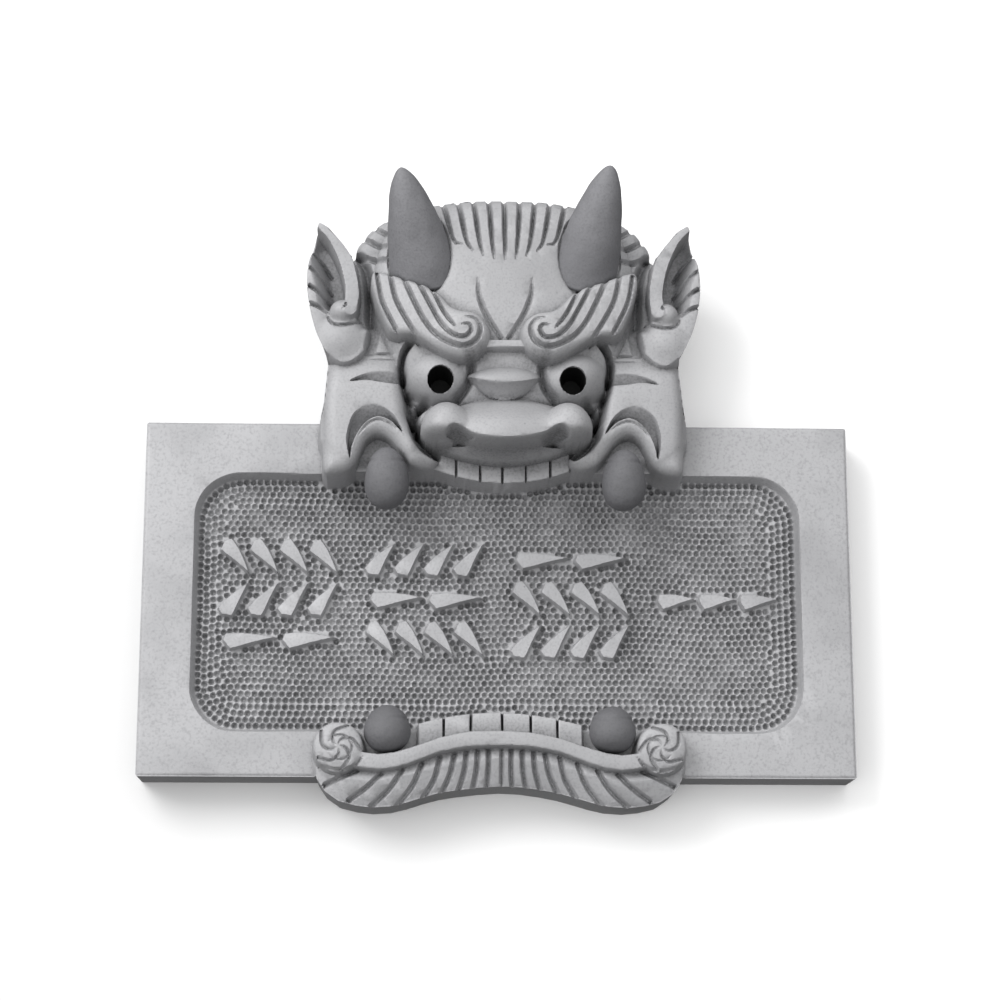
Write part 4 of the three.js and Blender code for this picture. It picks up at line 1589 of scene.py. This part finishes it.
@dataclass
class TileBody:
    """Plate, head and jaw as one clay body.

    Attributes:
        step: Grid spacing of the relief in mm.
        budget: Most triangles in the finished mesh.
        crisp: Angle in degrees from which an edge stays sharp.
        panel: The sunk panel.
        head_axis, jaw_axis: Centre lines in mm, from the frame.
        relief: The face.
        eyes: The eyes, whose pupils are bored last.
        unbored: Heights of the face before that.
        marks: Centres of the punch marks.
        worn: How worn each mark is, from 0 to 1.
    """

    step: float
    budget: int = 192000
    crisp: float = 34.0
    panel: Panel = field(default_factory=Panel)
    head_axis: float = field(init=False)
    jaw_axis: float = field(init=False)
    relief: Relief = field(init=False)
    eyes: list[Eye] = field(init=False)
    unbored: np.ndarray = field(init=False)
    marks: np.ndarray = field(init=False)
    worn: np.ndarray = field(init=False)

    def __post_init__(self) -> None:
        """Work out the head's and jaw's centre lines from the frame."""
        self.head_axis = self.middle("horn_left", "horn_right")
        self.jaw_axis = self.middle("fang_lower_left", "fang_lower_right")
        self.relief = Relief(*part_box("tile_body"), self.step)

    @staticmethod
    def middle(left: str, right: str) -> float:
        """The centre line between two nodes, in mm."""
        return (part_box(left)[0].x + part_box(right)[1].x) / 2 / MM

    def model(self) -> list[Incision]:
        """Model every part of the relief in order, and list the lines still to be cut.

        Returns:
            The lines to cut.
        """
        relief, axis = self.relief, self.head_axis
        skull, jaw = Skull(axis), Jaw(self.jaw_axis)
        ears, cheeks, brows = ([kind(axis, side) for side in Side] for kind in (Ear, Cheek, Brow))
        self.eyes = [Eye(axis + 0.7, side) for side in Side]
        for part in (Plate(), self.panel, BrushRows(), skull, *ears, *cheeks, *self.eyes, UpperMouth(axis),
                     Nose(axis), *brows, jaw):
            part.model(relief)
            LOG.info("modelled %s", type(part).__name__)
        self.unbored = relief.height.copy()
        for eye in self.eyes:
            eye.bore_pupil(relief)
        return [cut for part in (skull, jaw, *brows, *cheeks, *ears) for cut in part.incisions()]

    def seat(self, away: np.ndarray, width: float, depth: float) -> None:
        """Open a joint line of a width and depth where a piece's skin meets the relief."""
        self.relief.height -= depth * smoothstep(width, 0, np.abs(away))

    @staticmethod
    def rim(quads: np.ndarray) -> np.ndarray:
        """Points along the outline in order: the sides that only one quad has.

        Args:
            quads: Corners of the face's quads.

        Returns:
            Indices of the points.
        """
        sides = np.concatenate([np.stack([quads[:, k], quads[:, (k + 1) % 4]], axis=1) for k in range(4)])
        pairs = {(a, b) for a, b in sides.tolist()}
        follow = {a: b for a, b in pairs if (b, a) not in pairs}
        loop = [next(iter(follow))]
        while follow[loop[-1]] != loop[0]:
            loop.append(follow[loop[-1]])
        return np.array(loop)

    def mesh(self) -> bpy.types.Object:
        """Mesh the relief, its side walls and its back as one closed skin.

        Returns:
            The new object, with a face mask that is 0 on its back.
        """
        relief = self.relief
        edge, width = relief.edge, len(relief.columns)
        cells = np.argwhere(edge[:-1, :-1] + edge[1:, :-1] + edge[:-1, 1:] + edge[1:, 1:] > 0)
        first = cells[:, 0] * width + cells[:, 1]
        corners = np.stack([first, first + 1, first + width + 1, first + width], axis=1)
        used, quads = np.unique(corners, return_inverse=True)
        quads = quads.reshape(-1, 4)
        rim = self.rim(quads)
        x, z, height = (values.ravel()[used] for values in (relief.grid_x, relief.grid_z, relief.height))
        slopes = np.gradient(blur(np.clip(edge, -4, 4), 0.7), relief.step)
        rounds, most, flattest, inset = 3, 0.5, 0.3, 0.35
        for _ in range(rounds):
            inside = np.clip(relief.at(x[rim], z[rim], edge), -most, most)
            nz, nx = (relief.at(x[rim], z[rim], slope) for slope in slopes)
            length = np.maximum(np.hypot(nx, nz), flattest)
            x[rim] -= inside * nx / length
            z[rim] -= inside * nz / length
        height[rim] = relief.at(x[rim] + inset * nx / length, z[rim] + inset * nz / length, relief.height)
        points = np.vstack([np.stack([x, -height, z], axis=1), self.back_edge(x[rim], z[rim])])
        back = len(x) + np.arange(len(rim))
        walls = np.stack([np.roll(rim, -1), rim, back, np.roll(back, -1)], axis=1)
        mesh = bpy.data.meshes.new("tile_body_clay")
        mesh.from_pydata((points * MM).tolist(), [], [*quads.tolist(), *walls.tolist(), back[::-1].tolist()])
        store(mesh, "face", np.arange(len(points)) < len(x))
        return placed("tile_body_clay", mesh)

    def back_edge(self, x: np.ndarray, z: np.ndarray) -> np.ndarray:
        """The outline on the back: the same but for the ears, which taper to a root.

        Args:
            x: Outline on the face in mm.
            z: Outline on the face in mm.

        Returns:
            Points on the back plane.
        """
        out = x - self.head_axis
        levels, sides = (64, 72, 82, 92, 108, 116, 121, 126), (60.8, 60.0, 59.4, 57.0, 53.0, 51.4, 50.0, 46.0)
        share = 0.5 * smoothstep(0.5, 6.5, np.abs(out) - np.interp(z, levels, sides)) * smoothstep(70, 78, z)
        root_u, root_z, soft = 50.0, 104.0, 4.5
        shift = np.stack([np.sign(out) * share * (root_u - np.abs(out)), 0 * x, share * (root_z - z)], axis=1)
        reach = int(soft / self.step)
        shift = sum(np.roll(shift, k, axis=0) for k in range(-reach, reach + 1)) / (2 * reach + 1)
        return np.stack([x, 0 * x, z], axis=1) + shift

    @staticmethod
    def stroke_guide(cuts: list[Incision]) -> bpy.types.Object:
        """Lay out the lines that the cutting tree follows.

        Args:
            cuts: The lines.

        Returns:
            The guide object.
        """
        points, edges, shapes = [], [], []
        for cut in cuts:
            start, count = len(points), len(cut.path)
            t = np.arange(count) / (count - 1)
            fades = cut.runs_out if cut.fades is None else cut.fades
            share = np.sqrt(np.clip(np.minimum(t / cut.runs_out, (1 - t) / fades), 0.06, 1))
            points += cut.path.tolist()
            edges += [(start + i, start + i + 1) for i in range(count - 1)]
            shapes.append((cut.width / 2 * (0.35 + 0.65 * share), cut.depth * share, [cut.flatness] * count))
        return guide_object("stroke_guide", np.array(points), edges, *np.hstack(shapes))

    def mark_guide(self) -> bpy.types.Object:
        """Lay out the punch marks that the marking tree follows.

        Returns:
            The guide object.
        """
        relief = self.relief
        away = self.panel.clearance(relief)
        self.marks = self.panel.marks(relief, away)
        rng = np.random.default_rng(41)
        x, z = self.marks.T
        patches = 0.35 * relief.at(x, z, relief.noise(12, 42)) + 0.3 * relief.at(x, z, relief.noise(5, 43))
        sheltered = 0.4 * smoothstep(6, 3, self.panel.inside(x, z)) + 0.3 * (relief.at(x, z, away) < 2)
        self.worn = np.clip(0.35 + patches - sheltered, 0, 1)
        depth = 1.5 - 0.45 * self.worn + rng.normal(0, 0.1, len(x))
        LOG.info("%d punch marks", len(x))
        return guide_object("mark_guide", self.marks, [], self.mark_radius(), depth, np.full(len(x), 3.0))

    def mark_radius(self) -> np.ndarray:
        """Radius of each punch mark: a little under half the way to its neighbours.

        Returns:
            Radii in mm.
        """
        tree = planted(self.marks)
        near = [[found[2] for found in tree.find_n((x, z, 0), 5)[1:]] for x, z in self.marks]
        return np.clip(np.mean(near, axis=1) / 2 - 0.09, 0.75, 1.08)

    def bored(self, x: np.ndarray, y: np.ndarray, z: np.ndarray) -> np.ndarray:
        """How deep each place lies inside a bored pupil, in mm.

        Args:
            x: Places across, in mm.
            y: Places in depth, in mm.
            z: Places up, in mm.

        Returns:
            Depths in mm, 0 elsewhere.
        """
        depth = np.zeros(len(x))
        for eye in self.eyes:
            away = np.hypot(x - eye.axis - eye.side.value * eye.pupil[0], z - eye.pupil[1])
            within = (away < eye.pupil_radius + 0.3) & (y < -10)
            depth[within] = np.maximum(0, self.relief.at(x, z, self.unbored) + y - 0.4)[within]
        return depth

    def darkened(self, x: np.ndarray, y: np.ndarray, z: np.ndarray) -> np.ndarray:
        """How much each place is darkened, from 0 to 1: soot and painted shade in the carved hollows, and
        painted shade down the punch marks.

        Args:
            x: Places across, in mm.
            y: Places in depth, in mm.
            z: Places up, in mm.

        Returns:
            Shares of soot and painted shade.
        """
        tree, relief = planted(self.marks), self.relief
        # Painted shade: a place is darkened by how far it lies below the blurred relief round it, and by the
        # relief's map of soot and shade.
        wide, fine = (blur(relief.height, reach / relief.step) - relief.height for reach in (3.2, 1.3))
        recess_shade = np.clip((wide - 0.6) / 3.0, 0, 0.6) + np.clip((fine - 0.1) / 1.4, 0, 0.6)
        carved = (relief.height > 20) & (relief.edge > 1.2)
        soot = relief.at(x, z, np.maximum(0.8 * recess_shade.clip(0, 1), relief.soot_and_shade_map) * carved) * (y < -19)
        # Painted shade down each punch mark, darkest at its middle, varied at random and lighter where the
        # mark is worn.
        within = (y < -10) & (y > -self.panel.floor - 1) & (self.panel.inside(x, z) > 1)
        rng = np.random.default_rng(44)
        dark = np.clip(0.95 - 0.7 * self.worn + rng.normal(0, 0.12, len(self.marks)), 0.1, 1)
        for i in np.flatnonzero(within):
            _, mark, distance = tree.find((x[i], z[i], 0))
            soot[i] = dark[mark] * min(1.0, max(0.0, 2.5 - 2.5 * distance))
        return soot

    def build(self, clay: bpy.types.Material, horns: list["Horn"], fangs: list["Fang"]) -> bpy.types.Object:
        """Make the finished body.

        Args:
            clay: Its material.
            horns: The horns set into it.
            fangs: The fangs set into it.

        Returns:
            The body's object.
        """
        cuts = self.model()
        for horn in horns:
            self.seat(horn.away(self.relief), width=1.0, depth=1.1)
        for fang in fangs:
            self.seat(fang.away(self.relief), width=1.1, depth=1.0)
        piece = self.mesh()
        guides = (self.stroke_guide(cuts), self.mark_guide())
        for name, label, element, guide in (("IncisedStrokes", "Strokes", "EDGES", guides[0]),
                                            ("ToolMarks", "Marks", "POINTS", guides[1])):
            modifier = piece.modifiers.new(name, "NODES")
            modifier.node_group = cutting_tree(name, label, element)
            set_input(modifier, label, guide)
            set_input(modifier, "Clay", clay)
        baked(piece)
        for guide in guides:
            bpy.data.objects.remove(guide)
        piece.data.calc_loop_triangles()
        thin = piece.modifiers.new("Decimate", "DECIMATE")
        thin.ratio = min(1.0, self.budget / len(piece.data.loop_triangles))
        thin.use_collapse_triangulate = True
        baked(piece)
        mesh = piece.data
        places = np.empty(len(mesh.vertices) * 3, np.float32)
        mesh.vertices.foreach_get("co", places)
        x, y, z = (places[k::3] / MM for k in range(3))
        # Painted shade: near-black down the bored pupils, and soot and painted shade in the hollows and punch
        # marks.
        store(mesh, "bore", self.bored(x, y, z))
        store(mesh, "soot", self.darkened(x, y, z))
        mesh.attributes.remove(mesh.attributes["face"])
        mesh.shade_smooth()
        mesh.set_sharp_from_angle(angle=math.radians(self.crisp))
        LOG.info("tile body: %d triangles", len(mesh.polygons))
        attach(piece, "root")
        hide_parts("tile_body")
        return piece


# -------------------------------------------------------------- horns and fangs


def lumps(points: np.ndarray, size: float, seed: int) -> np.ndarray:
    """Smooth hand-made unevenness at places in space.

    Args:
        points: Places in mm, last axis x, y, z.
        size: Width of one lump in mm.
        seed: Seed of the random waves.

    Returns:
        Values from about -1 to 1.
    """
    rng = np.random.default_rng(seed)
    total = np.zeros(points.shape[:-1])
    waves = 9
    for _ in range(waves):
        direction = rng.normal(size=3)
        direction *= 2 * math.pi / size / np.linalg.norm(direction)
        total += np.sin(points @ direction + rng.uniform(0, 2 * math.pi))
    return total / math.sqrt(waves)


def matt_piece(node: str, rings: np.ndarray, clay: bpy.types.Material) -> bpy.types.Object:
    """Close a stack of rings into a horn or fang and join it to the frame.

    Args:
        node: Name of the solid it stands for.
        rings: Array of rings, points and coordinates, in mm.
        clay: Its material.

    Returns:
        The new object.
    """
    sides = rings.shape[1]
    points = [rings[0].mean(axis=0), *rings.reshape(-1, 3), rings[-1].mean(axis=0)]
    last = len(points) - 1
    faces = []
    for j in range(sides):
        k = (j + 1) % sides
        faces += [(0, 1 + k, 1 + j), (last, last - sides + j, last - sides + k)]
        faces += [(a + j, a + k, a + sides + k, a + sides + j) for a in range(1, last - sides, sides)]
    mesh = bpy.data.meshes.new(f"{node}_clay")
    mesh.from_pydata([tuple(p * MM) for p in points], [], faces)
    mesh.materials.append(clay)
    mesh.shade_smooth()
    piece = placed(f"{node}_clay", mesh)
    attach(piece, "root")
    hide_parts(node)
    LOG.info("%s: %d faces", piece.name, len(mesh.polygons))
    return piece


@dataclass
class Horn:
    """One horn: a stout cone that leans out and forward to a blunt tip.

    Attributes:
        side: Which half of the head it stands on.
        axis: The head's centre line in mm.
        root: Distance from the centre line, level and height of its root.
        run: How far it runs out, up and forward from there.
        sag: How much it curves back towards the tip.
        radius: Its radius at the root.
        left_short: How much less the left one rises.
        sides: Points round it.
        steps: Rings along it.
    """

    side: Side
    axis: float
    root: tuple[float, float, float] = (26.7, 107.7, 32.0)
    run: tuple[float, float, float] = (8.8, 34.6, 25.0)
    sag: float = 4.0
    radius: float = 11.7
    left_short: float = 1.6
    sides: int = 80
    steps: int = 90

    def centre(self, t: np.ndarray) -> np.ndarray:
        """Points on its axis, from the root at 0 to the tip at 1.

        Args:
            t: Shares of its length.

        Returns:
            Points in mm.
        """
        out = self.axis + self.side.value * (self.root[0] + self.run[0] * t)
        forward = self.root[2] + self.run[2] * t - self.sag * t * t
        rise = self.run[1] - (self.left_short if self.side is Side.LEFT else 0.0)
        return np.stack([out, -forward, self.root[1] + rise * t], axis=-1)

    def girth(self, t: np.ndarray) -> np.ndarray:
        """Its radius at each share of its length."""
        return self.radius * (1 - np.clip(t, 0, 1) ** 1.35) ** 0.56

    def away(self, relief: Relief) -> np.ndarray:
        """Rough distance of the relief's surface from the horn's skin.

        Args:
            relief: The relief being worked.

        Returns:
            Distances in mm.
        """
        places = np.stack([relief.grid_x, -relief.height, relief.grid_z], axis=-1)
        return np.min([np.linalg.norm(places - self.centre(t), axis=-1) - self.girth(t)
                       for t in np.linspace(0, 0.6, 13)], axis=0)

    def build(self, clay: bpy.types.Material) -> bpy.types.Object:
        """Make the horn of a clay.

        Args:
            clay: Its material.

        Returns:
            The horn's object.
        """
        t = 1 - np.linspace(1, 0, self.steps) ** 2
        t = t[t < 0.9995]
        centre = self.centre(t)
        along = np.gradient(centre, axis=0)
        along /= np.linalg.norm(along, axis=1, keepdims=True)
        across = np.cross(along, (0, -1, 0))
        across /= np.linalg.norm(across, axis=1, keepdims=True)
        out = np.cross(across, along)
        turn = np.linspace(0, 2 * math.pi, self.sides, endpoint=False)
        ring = np.cos(turn)[None, :, None] * across[:, None] + np.sin(turn)[None, :, None] * out[:, None]
        rings = centre[:, None] + self.girth(t)[:, None, None] * ring
        rings += ring * (0.2 * lumps(rings, 15, 51) + 0.06 * lumps(rings, 5, 52))[:, :, None]
        return matt_piece(f"horn_{self.side.name.lower()}", rings, clay)


@dataclass
class Fang:
    """One tusk: an egg of clay, with the cap it was pressed in under.

    Attributes:
        node: Name of the solid it stands for.
        cap: Share of its length, from the top, that the cap covers.
        pitch: Forward lean in radians.
        sides: Points round it.
        steps: Rings along it.
    """

    node: str
    cap: float
    pitch: float
    sides: int = 56
    steps: int = 44

    def frame(self) -> tuple[np.ndarray, np.ndarray]:
        """Centre and half sizes of its solid, in mm."""
        low, high = (np.array(corner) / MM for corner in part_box(self.node))
        return (low + high) / 2, (high - low) / 2

    def away(self, relief: Relief) -> np.ndarray:
        """Rough distance of the relief's surface from the fang's skin.

        Args:
            relief: The relief being worked.

        Returns:
            Distances in mm.
        """
        centre, half = self.frame()
        places = np.stack([relief.grid_x, -relief.height, relief.grid_z], axis=-1)
        return (np.linalg.norm((places - centre) / half, axis=-1) - 1) * half.min()

    def build(self, clay: bpy.types.Material) -> bpy.types.Object:
        """Make the fang of a clay, inside its solid's box.

        Args:
            clay: Its material.

        Returns:
            The fang's object.
        """
        centre, half = self.frame()
        a = np.linspace(0, math.pi, self.steps + 2)[1:-1]
        wide = half[0] / 1.02 * np.sin(a) * (1 + 0.12 * np.cos(a))
        up = -half[2] * 0.995 * np.cos(a)
        level, seam = up / half[2], 1 - 2 * self.cap
        wide *= 1 - 0.055 * np.exp(-((level - seam) / 0.05) ** 2)
        wide *= 1 + 0.035 * smoothstep(seam, seam + 0.06, level)
        turn = np.linspace(0, 2 * math.pi, self.sides, endpoint=False)
        rings = np.stack([wide[:, None] * np.cos(turn), wide[:, None] * np.sin(turn),
                          np.repeat(up[:, None], self.sides, axis=1)], axis=2)
        c, s = math.cos(self.pitch), math.sin(self.pitch)
        rings = rings @ np.array([(1, 0, 0), (0, c, s), (0, -s, c)]) + centre
        outwards = rings - centre
        outwards /= np.linalg.norm(outwards, axis=2, keepdims=True)
        rings += outwards * (0.12 * lumps(rings, 9, 61) + 0.04 * lumps(rings, 3, 62))[:, :, None]
        return matt_piece(self.node, rings[:, ::-1], clay)


# --------------------------------------------------------------------- the studio


@dataclass
class Studio:
    """A pale wall behind the tile, a pale floor, soft light and the camera.

    Attributes:
        azimuth, elevation: Where the camera stands, in degrees.
        distance: How far it is from its target, in metres.
        target: What it looks at.
        lens: Its focal length in mm, on a 36 mm sensor.
    """

    azimuth: float = -2.0
    elevation: float = -13.2
    distance: float = 0.852
    target: tuple[float, float, float] = (0.0013, 0.0, 0.0384)
    lens: float = 88.0

    def camera(self) -> None:
        """Set up the camera, low and a little to the left."""
        a, e = math.radians(self.azimuth), math.radians(self.elevation)
        back = Vector((math.sin(a) * math.cos(e), -math.cos(a) * math.cos(e), math.sin(e)))
        data = bpy.data.cameras.new("camera")
        data.lens, data.sensor_width = self.lens, 36.0
        data.clip_start, data.clip_end = 0.01, 50.0
        camera = placed("camera", data)
        camera.location = Vector(self.target) + back * self.distance
        camera.rotation_euler = (-back).to_track_quat("-Z", "Y").to_euler()
        bpy.context.scene.camera = camera

    def backdrop(self) -> None:
        """Hang the wall just behind the tile and lay the floor well below it."""
        paint = bpy.data.materials.new("Matt white paint, rolled")
        paint.use_nodes = True
        tree = paint.node_tree
        tree.nodes.clear()
        # A rolled wall scatters all light, so it is plain diffuse, a little less white near the
        # light; from behind it isn't there.
        place = add_node(tree, "ShaderNodeTexCoord").outputs["Object"]
        across = add_node(tree, "ShaderNodeSeparateXYZ", [place]).outputs["X"]
        shade = add_node(tree, "ShaderNodeMapRange", [across, -0.15, 0.03, 0.77, 1.0])
        white = add_node(tree, "ShaderNodeBsdfDiffuse", {"Color": shade, "Roughness": 0.6})
        clear = add_node(tree, "ShaderNodeBsdfTransparent")
        rear = add_node(tree, "ShaderNodeNewGeometry").outputs["Backfacing"]
        shown = add_node(tree, "ShaderNodeMixShader", [rear, white, clear])
        add_node(tree, "ShaderNodeOutputMaterial", {"Surface": shown})
        size, gap, drop = 3.0, 0.0006, 0.45
        wall = [(-size, gap, -drop), (size, gap, -drop), (size, gap, size), (-size, gap, size)]
        floor = [(-size, -size, -drop), (size, -size, -drop), (size, gap, -drop), (-size, gap, -drop)]
        for name, corners in (("wall", wall), ("floor", floor)):
            mesh = bpy.data.meshes.new(name)
            mesh.from_pydata(corners, [], [(0, 1, 2, 3)])
            mesh.materials.append(paint)
            sheet = placed(name, mesh)
            sheet.visible_diffuse = sheet.visible_glossy = sheet.visible_shadow = False

    def light(self) -> None:
        """Light the tile softly from the upper left, with a weak fill."""
        world = bpy.data.worlds.new("soft room")
        world.use_nodes = True
        tree = world.node_tree
        tree.nodes.clear()
        towards = Vector((-0.25, -0.85, 0.5)).normalized()
        look = add_node(tree, "ShaderNodeTexCoord").outputs["Generated"]
        facing = add_node(tree, "ShaderNodeVectorMath", [look, towards], operation="DOT_PRODUCT").outputs
        share = add_node(tree, "ShaderNodeMapRange", [facing["Value"], -0.15, 0.95, 0.16, 1.53],
                         interpolation_type="SMOOTHSTEP")
        sky = add_node(tree, "ShaderNodeBackground", {"Color": (1, 1, 1, 1), "Strength": share})
        add_node(tree, "ShaderNodeOutputWorld", {"Surface": sky})
        bpy.context.scene.world = world
        data = bpy.data.lights.new("key", "AREA")
        data.size, data.energy = 0.6, 7.0
        lamp = placed("key", data)
        lamp.location = (-0.62, -0.8, 0.5)
        lamp.rotation_euler = (Vector((0, 0, 0.03)) - lamp.location).to_track_quat("-Z", "Y").to_euler()

    def build(self) -> None:
        """Make the whole studio."""
        self.camera()
        self.backdrop()
        self.light()
        bpy.context.scene.view_settings.view_transform = "Standard"


def main() -> None:
    """Build every piece in order and report it."""
    logging.basicConfig(level=logging.INFO, format="%(message)s")
    Studio().build()
    burnished, matt, darkened = BURNISHED.make(), MATT.make(), SOOTED.make()
    coarse, fine = 0.8, 0.34
    body = TileBody(step=fine)
    horns = [Horn(side, body.head_axis) for side in Side]
    fangs = [Fang(f"fang_{row}_{side.name.lower()}", cap, pitch)
             for row, cap, pitch in (("upper", 0.22, 0.12), ("lower", 0.3, 0.0)) for side in Side]
    body.build(burnished, horns, fangs)
    for horn in horns:
        horn.build(matt)
    for fang in fangs:
        fang.build(darkened)


if __name__ == "__main__":
    main()
